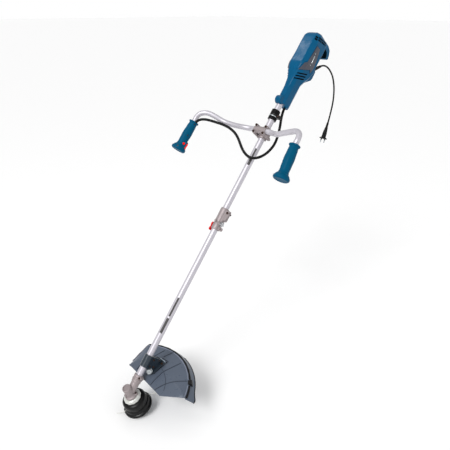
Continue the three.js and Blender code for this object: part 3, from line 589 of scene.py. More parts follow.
def add_supply_cord():
    stem = 5.8
    profile = [(0, 0), (stem, 0), (stem, 12.6), (7.6, 13.2), (8.5, 14), (8.5, 17), (8, 18.4)]
    for i in range(9):
        z = 20 + 5 * i
        r = 7.6 - 0.22 * (i + 1)
        profile += [(r, z), (r, z + 3), (r - BOOT_GROOVE, z + 3.5), (r - BOOT_GROOVE, z + 4.6)]
    profile += [(5.4, 65), (5, 65.6), (0, 65.6)]
    gland = moved(turned(profile, 48), along(CORD_EXIT, GLAND_TIP))
    gland = piece(gland, "cord_boot", SHAFT, "motor_unit", RUBBER, ["cord_gland"])

    route = smooth_route(CORD_ROUTE, CORD_STEPS)
    cord = tube(route, CORD_R)
    cord = piece(cord, "supply_cord", SHAFT, "motor_unit", RUBBER, ["mains_cord"])

    start = Vector(CORD_ROUTE[-1]).lerp(Vector(PLUG_END), 0.006)
    length = (Vector(PLUG_END) - start).length
    body = [(0, 0), (4.4, 0), (4.6, 0.6)]
    for i in range(5):
        z = 2 + 4 * i
        r = 4.9 + 0.25 * i
        body += [(r, z), (r, z + 2.4), (r - PLUG_GROOVE, z + 2.8), (r - PLUG_GROOVE, z + 3.6)]
    body += [
        (6.6, 24), (7.6, 34), (9.3, 46), (10, 56), (10, length - 11), (10.6, length - 8),
        (12.4, length - 5.4), (17.2, length - 4), (18, length - 3.3), (18, length - 0.6), (17.4, length),
        (0, length),
    ]
    plug = turned(body, 64)
    sides = [rod(30, (0, side * 38, length - 24), (0, side * 38, length - 12), 48) for side in (-1, 1)]
    plug = cut(plug, *sides)
    for x in (-PIN_X, PIN_X):
        plug = join(plug, rod(2.9, (x, 0, length - 2), (x, 0, length + 7), 32, 0.4))
    place = SHAFT @ along(start, PLUG_END)
    plug = piece(plug, "plug_body", place, "motor_unit", RUBBER, ["mains_plug"])
    pins = [rod(2.4, (x, 0, length + 6.5), (x, 0, length + 19), 32, 0.8) for x in (-PIN_X, PIN_X)]
    pins = piece(join(*pins), "plug_pins", place, "motor_unit", ZINC)


# ---- Control cable ---------------------------------------------------------------------------
CABLE_R = 5.5
CABLE_ROUTE = [
    (0, 38, 166), (0, 38, 150), (1, 38.5, 134), (5, 40, 112), (12, 42, 88), (21, 43.5, 62), (30, 43, 34),
    (38, 40, 6), (45, 33, -24), (49, 20, -55), (49, 4, -84), (43, -12, -107), (31, -25, -121),
    (13, -34, -124.5), (-8, -42, -117), (-28, -49, -103), (-46, -56, -85), (-64, -65, -67),
    (-84, -75, -53), (-110, -87, -44), (-140, -99, -41), (-170, -107, -41), (-198, -114, -42),
    (-222, -122, -45), (-239, -130, -53), (-248, -135.5, -64), (-251, -137.6, -76),
]
CABLE_STEPS = 200


def add_control_cable():
    route = smooth_route(CABLE_ROUTE, CABLE_STEPS)
    cable = tube(route, CABLE_R)
    cable = piece(cable, "switch_cable", SHAFT, None, RUBBER, ["control_cable"])
    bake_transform(cable)


add_supply_cord()
add_control_cable()


# ---- Motor casing ----------------------------------------------------------------------------
# Sections: z, centre y, half width, half depth, share of a side before its chamfer, corner radius.
CASING = [
    (147, 18, 19, 31, 0.52, 9), (152, 18, 21, 34, 0.52, 11), (222, 17.5, 21, 34, 0.54, 11),
    (262, 13.5, 26, 33, 0.56, 10), (288, 13.5, 36, 40, 0.59, 9), (310, 14.5, 43, 47, 0.61, 8),
    (330, 15, 45.5, 50.5, 0.63, 7), (352, 15, 44.5, 49.5, 0.63, 7), (428, 15, 44.5, 49.5, 0.63, 7),
]
CAP = [
    (428.3, 15, 44.5, 49.5, 0.63, 7), (462, 15, 43.5, 48.5, 0.63, 8), (475, 16.5, 39.5, 44.5, 0.61, 9),
    (485, 17.5, 32, 36, 0.58, 9), (494, 17.5, 18, 20, 0.54, 6),
]
WALL = 3
CORNER_STEPS = 5
AIR_SLOTS = 3
TUBE_R = 13
TUBE_SEAT_R = 13.4
CORNER_REACH = 0.41  # how far a rounded corner reaches along its sides, in radii
MOST_OF_SIDE = 0.45


def casing_ring(section, grow=0.0):
    z, y, wide, deep, share, corner = section
    w, d = wide + grow, deep + grow
    a, b = share * w, share * d
    corners = [(w, b), (a, d), (-a, d), (-w, b), (-w, -b), (-a, -d), (a, -d), (w, -b)]
    ring = []
    for i, here in enumerate(corners):
        before, after = Vector(corners[i - 1]), Vector(corners[(i + 1) % 8])
        here = Vector(here)
        back, ahead = before - here, after - here
        reach = min(corner * CORNER_REACH, MOST_OF_SIDE * back.length, MOST_OF_SIDE * ahead.length)
        p = here + back.normalized() * reach
        q = here + ahead.normalized() * reach
        for k in range(CORNER_STEPS):
            t = k / (CORNER_STEPS - 1)
            spot = (1 - t) ** 2 * p + 2 * t * (1 - t) * here + t * t * q
            ring.append((spot.x, y + spot.y, z))
    return ring


def section_at(sections, z):
    for low, high in zip(sections, sections[1:]):
        if z <= high[0]:
            t = (z - low[0]) / (high[0] - low[0])
            return [a + (b - a) * t for a, b in zip(low, high)]
    return list(sections[-1])


def casing_skin(sections, grow=0.0, soften=5.0, look=None, low=None, high=None):
    """The casing's skin, its changes of slope softened over a few millimetres."""
    first, last = sections[0][0], sections[-1][0]
    rings = []
    count = max(8, int((last - first) / 4))
    for i in range(count + 1):
        z = first + (last - first) * i / count
        room = min(soften, z - first, last - z)
        around = [section_at(sections, z + room * k / 3) for k in (-3, -2, -1, 0, 1, 2, 3)]
        section = [sum(values) / 7 for values in zip(*around)]
        rings.append((z, section))
    if low is not None:
        rings[0] = (low, rings[0][1])
    if high is not None:
        rings[-1] = (high, rings[-1][1])
    return loft([casing_ring([z, *section[1:]], grow) for z, section in rings], look)


CORD_BULGE = [(20, 262), (40, 272), (84, 318), (88, 330), (87, 362), (64, 380), (20, 384)]
CORD_ROOM = [(22, 268), (39, 277), (80, 320), (84, 331), (83, 359), (63, 376), (22, 378)]
# The side plate's outline, in y and z, its thickness, its recess and its screws.
BADGE_OUTLINE = [
    (-10, 424), (14, 426), (29, 372), (32, 350), (27, 318), (17, 328), (-28, 298), (-26, 332), (-18, 342),
]
BADGE_THICK = 1.9
BADGE_GAP = 2.2
BADGE_SEAT = 0.9
BADGE_SCREWS = [(2, 396), (6, 343)]


def grown(outline, distance):
    """A closed outline moved outwards by a distance."""
    area = sum(a[0] * b[1] - b[0] * a[1] for a, b in zip(outline, outline[1:] + outline[:1]))
    sign = 1 if area > 0 else -1
    result = []
    for i, here in enumerate(outline):
        before, after = outline[i - 1], outline[(i + 1) % len(outline)]
        into = (Vector(here) - Vector(before)).normalized()
        out = (Vector(after) - Vector(here)).normalized()
        normal_in = Vector((into.y, -into.x)) * sign
        normal_out = Vector((out.y, -out.x)) * sign
        middle = (normal_in + normal_out).normalized()
        result.append(tuple(Vector(here) + middle * distance / max(0.4, middle.dot(normal_in))))
    return result


def air_slot(i):
    slot = rounded(box((-60, 60), (-23.5, 23.5), (-2.6, 2.6)), 2.3, 4, 60)
    # The slot's walls take the near-black painted shade.
    slot.data.materials.append(INSIDE_SHADE)
    return moved(slot, shift(0, -1 + 2 * i, 295 - 11 * i) @ turn_x(math.radians(27)))


def skin_layer(outside, inside):
    """The layer between two distances out from the casing's skin."""
    return cut(casing_skin(CASING, outside), casing_skin(CASING, inside, low=140, high=435))


def flank(outline, side):
    """A block with this outline that holds one side of the casing."""
    return side_plate(outline, *sorted((14 * side, 90 * side)))


def add_casing():
    body = casing_skin(CASING, look=BLUE)
    lug = rounded(rod(18, (-14.5, -13, 157), (14.5, -13, 157), 64), 4, 4, 50)
    bulge = rounded(side_plate(CORD_BULGE, -22, 22), 4, 4, 20)
    body = join(body, lug, bulge)
    # The inside of the wall and the cord room take the near-black painted shade.
    room = casing_skin(CASING, -WALL, look=INSIDE_SHADE, low=151, high=432)
    cord_room = side_plate(CORD_ROOM, -18.5, 18.5)
    cord_room.data.materials.append(INSIDE_SHADE)
    body = cut(
        body, room, cord_room, rod(TUBE_R + 0.3, (0, 0, 120), (0, 0, 240)),
        rod(6.5, (0.2, 38, 130), (0.2, 38, 160)), rod(6.1, CORD_EXIT, GLAND_TIP),
        *[air_slot(i) for i in range(AIR_SLOTS)],
    )
    for side in (-1, 1):
        pocket = common(skin_layer(6, -BADGE_SEAT), flank(grown(BADGE_OUTLINE, BADGE_GAP), side))
        body = cut(body, pocket)
    for side, name in ((1, "motor_housing_left"), (-1, "motor_housing_right")):
        half = common(copied(body), box(sorted((0.15 * side, 120 * side)), (-120, 200), (100, 600)))
        half = rounded(half, 0.5, 2, 38)
        shown = name.replace("motor_housing", "casing_half")
        evened(piece(half, shown, SHAFT, "motor_unit", None, [name], 30))
    bpy.data.objects.remove(body)


HOOK = [(56, 498), (90, 498), (110, 491), (122, 472), (126, 455), (76, 421), (56, 424)]
HOOK_POCKET = [(60, 468), (80, 474), (96, 470), (105, 459), (107, 448), (84, 432), (78, 424), (60, 420)]
VENT_COLUMNS = 6
VENT_SIZE = 8
VENT_HALF = 5


def add_rear_cover():
    cover = casing_skin(CAP, soften=3, look=BLUE)
    hood = rounded(side_plate(HOOK, -20, 20), 4.5, 4, 20)
    pockets = [
        rounded(side_plate(HOOK_POCKET, *sorted((3 * side, 40 * side))), 2.5, 3, 20) for side in (-1, 1)
    ]
    for pocket in pockets:
        pocket.data.materials.append(DEEP_BLUE)
    cover = join(cover, cut(hood, *pockets))
    # The cover's inside and its vents' walls take the near-black painted shade.
    room = casing_skin(CAP, -WALL, soften=3, look=INSIDE_SHADE, low=424, high=490)
    cover = cut(cover, room, box((-30, 30), (20, 66), (400, 428.3)))
    for column in range(VENT_COLUMNS):
        y = 11.8 * column - 26
        z = 3.4 * column + 451
        for low in (-9, 0.8):
            vent = box((-80, 80), (y - VENT_HALF, y + VENT_HALF), (z + low, z + low + VENT_SIZE))
            vent = rounded(vent, 1, 3, 40)
            vent.data.materials.append(INSIDE_SHADE)
            cover = cut(cover, vent)
    cover = rounded(cover, 0.5, 2, 38)
    evened(piece(cover, "rear_cap", SHAFT, "motor_unit", None, ["rear_cover"], 30))


def add_shade_screens():
    """Near-black sheets just inside the walls, behind the air slots: painted shade seen through the slots."""
    for sections, name, low, high in ((CASING, "front", 262, 424), (CAP, "rear", 430, 488)):
        outer = casing_skin(sections, -WALL - 0.4, soften=3)
        inner = casing_skin(sections, -WALL - 1.2, soften=3, low=100, high=600)
        wide = (-200, 200)
        screen = cut(outer, inner, box(wide, wide, (0, low)), box(wide, wide, (high, 700)))
        piece(screen, "shade_screen_" + name, SHAFT, "motor_unit", INSIDE_SHADE)


def cross_head(profile, sides, half, floor):
    """A screw head with a cross cut into it, down to floor."""
    head = turned(profile, sides)
    return cut(head, box((-half, half), (-4, 4), (floor, 4)), box((-4, 4), (-half, half), (floor, 4)))


def add_side_plates():
    layer = skin_layer(BADGE_THICK, 0.2)
    skin_x = 44.5 + BADGE_THICK
    for side, name in ((1, "left"), (-1, "right")):
        plate = common(copied(layer), flank(BADGE_OUTLINE, side))
        for y, z in BADGE_SCREWS:
            plate = cut(plate, rod(3.6, (side * (skin_x - 1.2), y, z), (side * (skin_x + 4), y, z), 40))
        plate = rounded(plate, 0.6, 3, 35)
        piece(plate, "side_plate_" + name, SHAFT, "motor_unit", BADGE, ["badge_" + name], 30)
        for k, (y, z) in enumerate(BADGE_SCREWS, 1):
            head = [(0, 0), (2.9, 0), (3.2, 0.4), (3.2, 0.9), (2.6, 1.6), (1.5, 2), (0, 2)]
            head = cross_head(head, 40, 0.5, 1.2)
            facing = along((side * (skin_x - 1.3), y, z), (side * (skin_x + 2), y, z))
            piece(head, f"plate_screw_{name}_{k}", SHAFT @ facing, "motor_unit", ZINC)
        strip = rounded(box((-1.1, 1.1), (-2.4, 2.4), (-17, 17)), 1, 3, 40)
        moved(strip, shift(side * (skin_x + 0.2), 4, 369) @ turn_x(math.radians(4)))
        piece(strip, "plate_trim_" + name, SHAFT, "motor_unit", ZINC)
    bpy.data.objects.remove(layer)


# ---- Shaft -----------------------------------------------------------------------------------
TUBE_WALL = 1.5
UPPER_TUBE = (-372, 224)
LOWER_TUBE = (-1112, -376)
LABEL_TURN = math.radians(-58)  # the turn about the shaft that a label faces
LABEL_SKIN = (12.9, 13.14)


def socket_screw(length, head_r, head_h, shank_r, name, place, body, stands_for=(), nut=None):
    """A dark screw with its head at z 0 to head_h and its shank below it.

    A nut is given as its lowest and highest z and its radius.
    """
    head = turned([(0, 0), (head_r, 0), (head_r, head_h - 0.9), (head_r - 0.9, head_h), (0, head_h)], 40)
    socket_r = 0.55 * head_r
    socket = turned([(0, 0), (socket_r, 0), (socket_r, 9), (0, 9)], 6)
    head = cut(head, moved(socket, shift(0, 0, 0.45 * head_h)))
    parts = [head, rod(shank_r, (0, 0, -length), (0, 0, 0.5), 32)]
    if nut:
        low, high, r = nut
        parts.append(turned([(0, low), (r, low), (r, high), (0, high)], 6))
    made = rounded(join(*parts), 0.25, 2, 40)
    return piece(made, name, place, body, DARK_STEEL, stands_for)


def add_tubes():
    for name, (low, high), body in (
        ("upper_tube", UPPER_TUBE, "motor_unit"),
        ("lower_tube", LOWER_TUBE, "lower_unit"),
    ):
        made = sleeve(TUBE_R, TUBE_R - TUBE_WALL, low, high, 96, 0.3)
        piece(made, name + "_drawn", SHAFT, body, TUBE, [name])
    for name, low, high, body in (
        ("label_upper", -150, -74, "motor_unit"),
        ("label_lower", -905, -752, "lower_unit"),
    ):
        inside, outside = LABEL_SKIN
        length = high - low
        strips = []
        for ends, half in (((low, low + 0.42 * length), 0.42), ((low + 0.47 * length, high), 0.3)):
            turns = [LABEL_TURN + half * (i / 12 - 1) for i in range(25)]
            outline = [polar(outside, t) for t in turns] + [polar(inside, t) for t in reversed(turns)]
            strips.append(loft([[(x, y, z) for x, y in outline] for z in ends]))
        piece(join(*strips), name, SHAFT, body, LABEL)


def repeated(points, count, pitch):
    """Profile points repeated up the axis."""
    return [(r, z + pitch * i) for i in range(count) for r, z in points]


def add_harness_clamp():
    inside = TUBE_R + 0.3
    profile = [
        (inside, 66), (18, 66), (18.5, 66.6),
        *repeated([(18.5, 68), (17.7, 68.6), (17.7, 69.4), (18.5, 70)], 3, 3.2),
        (18.5, 78), (16.5, 79), (16.5, 93), (18.5, 94),
        *repeated([(18.5, 96), (17.7, 96.6), (17.7, 97.5), (18.5, 98.1)], 4, 3.4),
        (18.5, 110.4), (18, 111), (inside, 111), (inside, 66),
    ]
    piece(turned(profile, 72), "harness_grommet", SHAFT, "motor_unit", RUBBER, ["harness_sleeve"])
    rim = sleeve(19.6, 18.7, 79.2, 82.4, 72, 0.3)
    piece(rim, "harness_rim", SHAFT, "motor_unit", ZINC)
    head = SHAFT @ along((25, -3.3, HARNESS_Z), (25, -8, HARNESS_Z))
    socket_screw(
        24, 4.2, 4.7, 2, "harness_bolt", head, "motor_unit", ["harness_screw"], nut=(-22.3, -18.6, 4.4),
    )


# ---- Handlebar -------------------------------------------------------------------------------
BAR_R = 11
BAR_Y = -30
BAR_STEPS = 260
CLAMP_BOLT_X = 25
CLAMP_BOLT_Z = 15
BAR_ROUTE = [
    (0, BAR_Y, 0), (20, BAR_Y, 0), (37, BAR_Y, 0), (60, BAR_Y, -2), (87, -42, -8), (117, -68, -19),
    (151, -92, -24), (195, -105, -16), (234, -118, -13), (261, -129, -27), (269, -133.5, -51), GRIP_TOP,
    (273.5, -131.2, -137), (278, -130.2, -191),
]


def add_handlebar():
    mirrored = [(-x, y, z) for x, y, z in BAR_ROUTE[1:]]
    route = smooth_route([*reversed(mirrored), *BAR_ROUTE], BAR_STEPS)
    piece(tube(route, BAR_R, 56), "bent_bar", SHAFT, "handlebar_unit", TUBE, ["handlebar"])


def add_bar_clamp():
    spots = [(sx * CLAMP_BOLT_X, sz * CLAMP_BOLT_Z) for sx in (-1, 1) for sz in (-1, 1)]

    def seat():
        return rod(TUBE_SEAT_R, (0, 0, -60), (0, 0, 60), 72)

    def bar_seat():
        return rod(BAR_R + 0.5, (-60, BAR_Y, 0), (60, BAR_Y, 0), 72)

    def holes():
        return [rod(2.8, (x, -60, z), (x, 40, z), 24) for x, z in spots]

    def ears(y0, y1, r=7):
        return [rod(r, (x, y0, z), (x, y1, z), 40, 1) for x, z in spots]

    def hub():
        return rod(18.5, (0, 0, -25), (0, 0, 25), 72, 1)

    saddle = rod(BAR_R + 4, (-31, BAR_Y, 0), (31, BAR_Y, 0), 72, 1.5)
    towers = [box((x - 6, x + 6), (-39, -30), (-15, 15)) for x in (-CLAMP_BOLT_X, CLAMP_BOLT_X)]
    cap = join(saddle, *towers, *ears(-40, -30))
    cap = cut(cap, box((-80, 80), (-30.3, 60), (-60, 60)), bar_seat(), *holes())
    cap = cut(cap, *[rod(5.2, (x, -60, z), (x, -40, z), 32) for x, z in spots])
    piece(cast(cap, 0.7, 4), "bar_saddle", SHAFT, "motor_unit", CAST, ["bar_clamp_cap"])

    base = join(
        hub(), box((-15, 15), (-30, -0.3), (-13, 13)), box((-27, 27), (-12, -0.3), (-16, 16)),
        *ears(-29.7, -0.3, 6.8),
    )
    for x in (-32, 32):
        base = cut(base, rod(7, (x, -60, 0), (x, 60, 0), 40))
    base = cut(base, box((-80, 80), (-0.3, 60), (-60, 60)))
    base = cut(base, bar_seat(), seat(), box((-80, 80), (-60, -29.7), (-60, 60)), *holes())
    piece(cast(base, 0.7, 4), "clamp_block", SHAFT, "motor_unit", CAST, ["bar_clamp_base"])

    cradle = cut(hub(), box((-60, 60), (-60, 0.3), (-60, 60)))
    bottom = join(cradle, box((-26, 26), (0.3, 9), (-16, 16)), *ears(0.3, 12, 7.5))
    bottom = cut(bottom, seat(), *holes())
    piece(cast(bottom, 0.7, 4), "clamp_cradle", SHAFT, "motor_unit", CAST, ["bar_clamp_bottom"])

    for k, (x, z) in enumerate(spots, 1):
        place = SHAFT @ along((x, -40.3, z), (x, -46, z))
        socket_screw(
            58, 4.6, 5.7, 2.5, f"clamp_screw_{k}", place, "motor_unit", [f"bar_clamp_bolt_{k}"],
            nut=(-56.3, -52.6, 4.8),
        )


# Distance from the grip's top and radius there.
GRIP_PROFILE = [
    (0, 19.2), (0.4, 20.2), (1.5, 21.6), (3, 22), (5, 21.6), (8.5, 17.4), (30, 19), (58, 20.4), (85, 19.4),
    (104, 18.4), (112, 20), (124, 28), (128, 31), (131, 31.6), (135, 31.5), (138, 29),
]
GRIP_LENGTH = 140
GRIP_SIDES = 96
GRIP_STEPS = 116
FLUTES = 8
FLUTE_DEPTH = 0.6
WAVE_HEIGHT = 0.12
WAVE_PITCH = 11


def grip_radius(distance):
    for (d0, r0), (d1, r1) in zip(GRIP_PROFILE, GRIP_PROFILE[1:]):
        if distance <= d1:
            t = (distance - d0) / (d1 - d0)
            t = t * t * (3 - 2 * t)
            return r0 + (r1 - r0) * t
    return GRIP_PROFILE[-1][1]


def grip_shape():
    """The moulded grip: a flanged handle with shallow flutes and a flared foot."""
    rings = []
    for i in range(GRIP_STEPS + 1):
        d = 138 * i / GRIP_STEPS
        r = grip_radius(d)
        fluted = max(0, math.sin(math.pi * min(1, max(0, (d - 12) / 92)))) ** 0.5
        wave = WAVE_HEIGHT * fluted * math.sin(2 * math.pi * d / WAVE_PITCH)
        ring = []
        for turn in full_turn(GRIP_SIDES):
            flute = FLUTE_DEPTH * fluted * (0.5 + 0.5 * math.cos(FLUTES * turn)) ** 2
            ring.append((*polar(r - flute + wave, turn), -d))
        rings.append(ring)
    for r, d in ((27.5, 139.2), (25, GRIP_LENGTH), (24, GRIP_LENGTH), (23.4, 139.2), (12, 138.6), (2, 138.4)):
        rings.append([(*polar(r, turn), -d) for turn in full_turn(GRIP_SIDES)])
    return loft(rings)


TRIGGER_TURN = math.radians(22)
LOCK_TURN = math.radians(-14)
LOCK_Z = -105
LOCK_R = 5
# Turn about the grip's axis and distance from its top.
GRIP_SCREWS = [(math.radians(-18.6), 11.5), (math.radians(-26), 67), (math.radians(-59), 126.5)]


def screw_spot(turn, distance):
    """Where a grip screw meets the grip's skin, and the way out from it."""
    out = Vector((*polar(1, turn), 0))
    return grip_radius(distance) * out + Vector((0, 0, -distance)), out


def trigger_box(xs, ys, zs):
    return moved(box(xs, ys, zs), Matrix.Rotation(TRIGGER_TURN, 4, "Z"))


def on_button_axis(r):
    return (*polar(r, LOCK_TURN), LOCK_Z)


def add_grips():
    def bore():
        return rod(BAR_R + 0.8, (0, 0, -124), (0, 0, 10), 72)

    left = rounded(cut(grip_shape(), bore()), 0.4, 2, 50)
    piece(left, "plain_grip", grip_frame(1), "handlebar_unit", GRIP, ["left_grip"])

    fence = rounded(trigger_box((8, 25.4), (-7, 7), (-128, -92)), 2.4, 4, 40)
    shell = cut(
        join(grip_shape(), fence), bore(), trigger_box((11, 45), (-4, 4), (-125, -94)),
        rod(LOCK_R + 0.4, on_button_axis(13), on_button_axis(45)),
    )
    to_grip = grip_frame(-1).inverted() @ SHAFT
    cable_room = moved(tube(smooth_route(CABLE_ROUTE[-6:], 40), CABLE_R + 0.4, 24), to_grip)
    shell = cut(shell, cable_room)
    for turn, distance in GRIP_SCREWS:
        spot, out = screw_spot(turn, distance)
        shell = cut(shell, rod(3.3, spot - 2.8 * out, spot + 9 * out, 32))
    for xs, name, node in (
        ((0.15, 60), "grip_shell_inner", "switch_grip_inner"),
        ((-60, -0.15), "grip_shell_outer", "switch_grip_outer"),
    ):
        half = common(copied(shell), box(xs, (-60, 60), (-200, 20)))
        piece(rounded(half, 0.35, 2, 45), name, grip_frame(-1), "handlebar_unit", GRIP, [node])
    bpy.data.objects.remove(shell)
    for k, (turn, distance) in enumerate(GRIP_SCREWS, 1):
        spot, out = screw_spot(turn, distance)
        spot -= 2.7 * out
        head = cross_head([(0, 0), (2.9, 0), (2.9, 1), (2, 1.7), (0, 1.9)], 32, 0.45, 0.9)
        place = grip_frame(-1) @ along(spot, spot + out)
        piece(head, f"grip_screw_{k}", place, "handlebar_unit", DARK_STEEL)

    outline = [(16, -123.6), (26.5, -123.4), (29, -120), (28.2, -110), (29.6, -101), (28, -97.5), (16, -97)]
    trigger = moved(rounded(level_plate(outline, 3.4), 1.2, 4, 25), Matrix.Rotation(TRIGGER_TURN, 4, "Z"))
    piece(trigger, "trigger_lever", grip_frame(-1), "trigger", RED, ["trigger"])
    button = turned([(0, 0), (LOCK_R, 0), (LOCK_R, 5), (4.3, 5.8), (2.6, 6.05), (0, 5.6)], 48)
    place = grip_frame(-1) @ along(on_button_axis(16.5), on_button_axis(22.5))
    piece(button, "lock_off_button", place, "lock_button", RED, ["lock_button"])


# ---- Shaft coupling --------------------------------------------------------------------------
COUPLING = (-446, -351)


def add_coupling():
    low, high = COUPLING
    body = turned(
        [
            (0, low), (16.6, low), (18, low + 2), (18, low + 20), (17.5, low + 23), (17.5, high - 34),
            (18, high - 30), (18, high - 5), (16.6, high), (0, high),
        ],
        72,
    )
    lug = [(-9, -397), (-9, -360), (-7, -356), (7, -356), (9, -360), (9, -397), (6, -402), (-6, -402)]
    ear = loft([[(x, y, z) for y, z in lug] for x in (4, 31)])
    ear_tip = rod(9, (0, 0, -390), (0, 0, -364), 48, 2)
    ear_tip = moved(ear_tip, shift(26.5, 0, 0))
    boss = rod(9, (4, -8, -418), (22, -8, -418), 48, 1)
    eye = rod(7.6, (28, -4.5, -437.5), (28, 4.5, -437.5), 48, 1)
    arm = box((8, 28), (-4, 4), (-444, -430))
    fin = loft([[(x, y, z) for y, z in ((-9, -396), (9, -396), (5, -420), (-12, -420))] for x in (6, 22)])
    casting = join(body, ear, ear_tip, boss, eye, arm, fin)
    casting = cut(
        casting, rod(TUBE_SEAT_R, (0, 0, low - 5), (0, 0, high + 5), 72),
        box((13, 50), (-1.1, 1.1), (-403, -340)),
        rod(2.9, (28, -20, -367), (28, 20, -367), 32), rod(2.9, (17, -8, -418), (30, -8, -418), 32),
        rod(3.1, (28, -10, -437.5), (28, 10, -437.5), 32), rod(4.6, (-30, 0, -434), (-10, 0, -434), 32),
        rod(3.6, (0, -30, -412), (0, -14, -412), 32), rod(5.4, (28, -20, -367), (28, -8.6, -367), 40),
    )
    casting = cast(casting, 0.7, 4)
    piece(casting, "coupling_casting", SHAFT, "motor_unit", CAST, ["coupling_body"])
    head = SHAFT @ along((28, -9.3, -367), (28, -14, -367))
    socket_screw(
        22, 4.6, 4.5, 2.5, "coupling_screw", head, "motor_unit", ["coupling_bolt"],
        nut=(-22.3, -18.6, 4.6),
    )
    core = turned([(0, 0), (7.6, 0), (8.4, 1), (8.6, 8), (7.8, 10.4), (5.4, 11.6), (0, 12)], 64)
    for turn in full_turn(5):
        spot = polar(7.4, turn)
        core = join(core, rod(3.4, (*spot, 0.8), (*spot, 10.4), 32, 1))
    knob = join(cast(core, 0.5, 4), rod(2.5, (0, 0, -4.5), (0, 0, 1), 32))
    place = SHAFT @ along((22.3, -8, -418), (34, -8, -418))
    piece(knob, "lobed_knob", place, "clamp_knob", CHROME, ["clamp_knob"])
    outline = [
        (-27.4, -451), (-25, -455), (-20.2, -455), (-20.2, -419), (-24, -419), (-27, -423), (-27.8, -430),
        (-25.2, -435), (-25.2, -440), (-27.8, -445),
    ]
    paddle = rounded(level_plate(outline, 7.5), 1.3, 4, 25)
    lever = join(paddle, rod(4, (-21, 0, -434), (-16.6, 0, -434), 40))
    piece(lever, "catch_lever", SHAFT, "release_lever", LEVER_RED, ["release_lever"])


# ---- Gearbox ---------------------------------------------------------------------------------
def add_gearbox():
    def beside(x, y, s):
        """A point beside the shaft, at a distance along it from where the axes meet."""
        return turn_x(-HEAD_TURN) @ Vector((x, y, s))

    def shaft_rod(r, low, high, edge=0.8):
        return rod(r, beside(0, 0, low), beside(0, 0, high), 72, edge)

    boss = turned(
        [
            (0, 34.6), (13, 34.6), (13.6, 38), (15.8, 38), (17, 36.8), (17.3, 34), (17.3, -1), (18.6, -4), (21, -6),
            (24, -8), (24, -14.7), (0, -14.7),
        ],
        72,
    )
    ear = rod(6.5, beside(17.5, -9, 69), beside(17.5, 9, 69), 40, 1)
    rib = box((-3, 3), (-22, 0), (-10, 14))
    casting = join(
        boss, shaft_rod(16.5, 8, 50), shaft_rod(18.5, 48, 54), shaft_rod(20, 56, 61), shaft_rod(18.2, 52, 66),
        shaft_rod(18.9, 67, 77), ear, rib,
    )
    casting = cut(
        casting, shaft_rod(TUBE_SEAT_R, 49.7, 94, 0.01), shaft_rod(12.4, 10, 50, 0.01),
        rod(2.5, beside(17.5, -30, 69), beside(17.5, 30, 69), 24),
        turned(
            [(0, 32), (15.2, 32), (15.2, 2), (9, 0), (9, -3.5), (13.3, -3.5), (13.3, -20), (0, -20)], 64
        ),
    )
    for side in (-1, 1):
        casting = join(casting, moved(rod(5.2, (0, 0, -14.2), (0, 0, -5), 32, 0.8), shift(side * 17.5, 14.5, 0)))
    piece(cast(casting, 0.6, 2), "gearbox_casting", HEAD, "lower_unit", CAST, ["gearbox_housing"])
    head = HEAD @ Matrix.Translation(beside(17.5, -9.2, 69)) @ turn_x(-HEAD_TURN) @ turn_x(math.radians(90))
    socket_screw(19, 4.2, 3.6, 2.2, "gearbox_screw", head, "lower_unit", [])
    for k, side in enumerate((-1, 1)):
        place = HEAD @ shift(side * 17.5, 14.5, -4.8)
        socket_screw(4, 3.2, 2.6, 1.6, "flange_screw_" + str(k + 1), place, "lower_unit", [])


# ---- Cutting head ----------------------------------------------------------------------------
BORE = 5.3
SPRING_R = 12.2
SPRING_SPAN = (-91.5, -68.1)
SPRING_TURNS = 5
LINE_Z = -74
LINE_ROUTE = [(12, 39), (14.2, 49), (18.5, 59), (26.5, 68.5), (38.5, 78.5)]


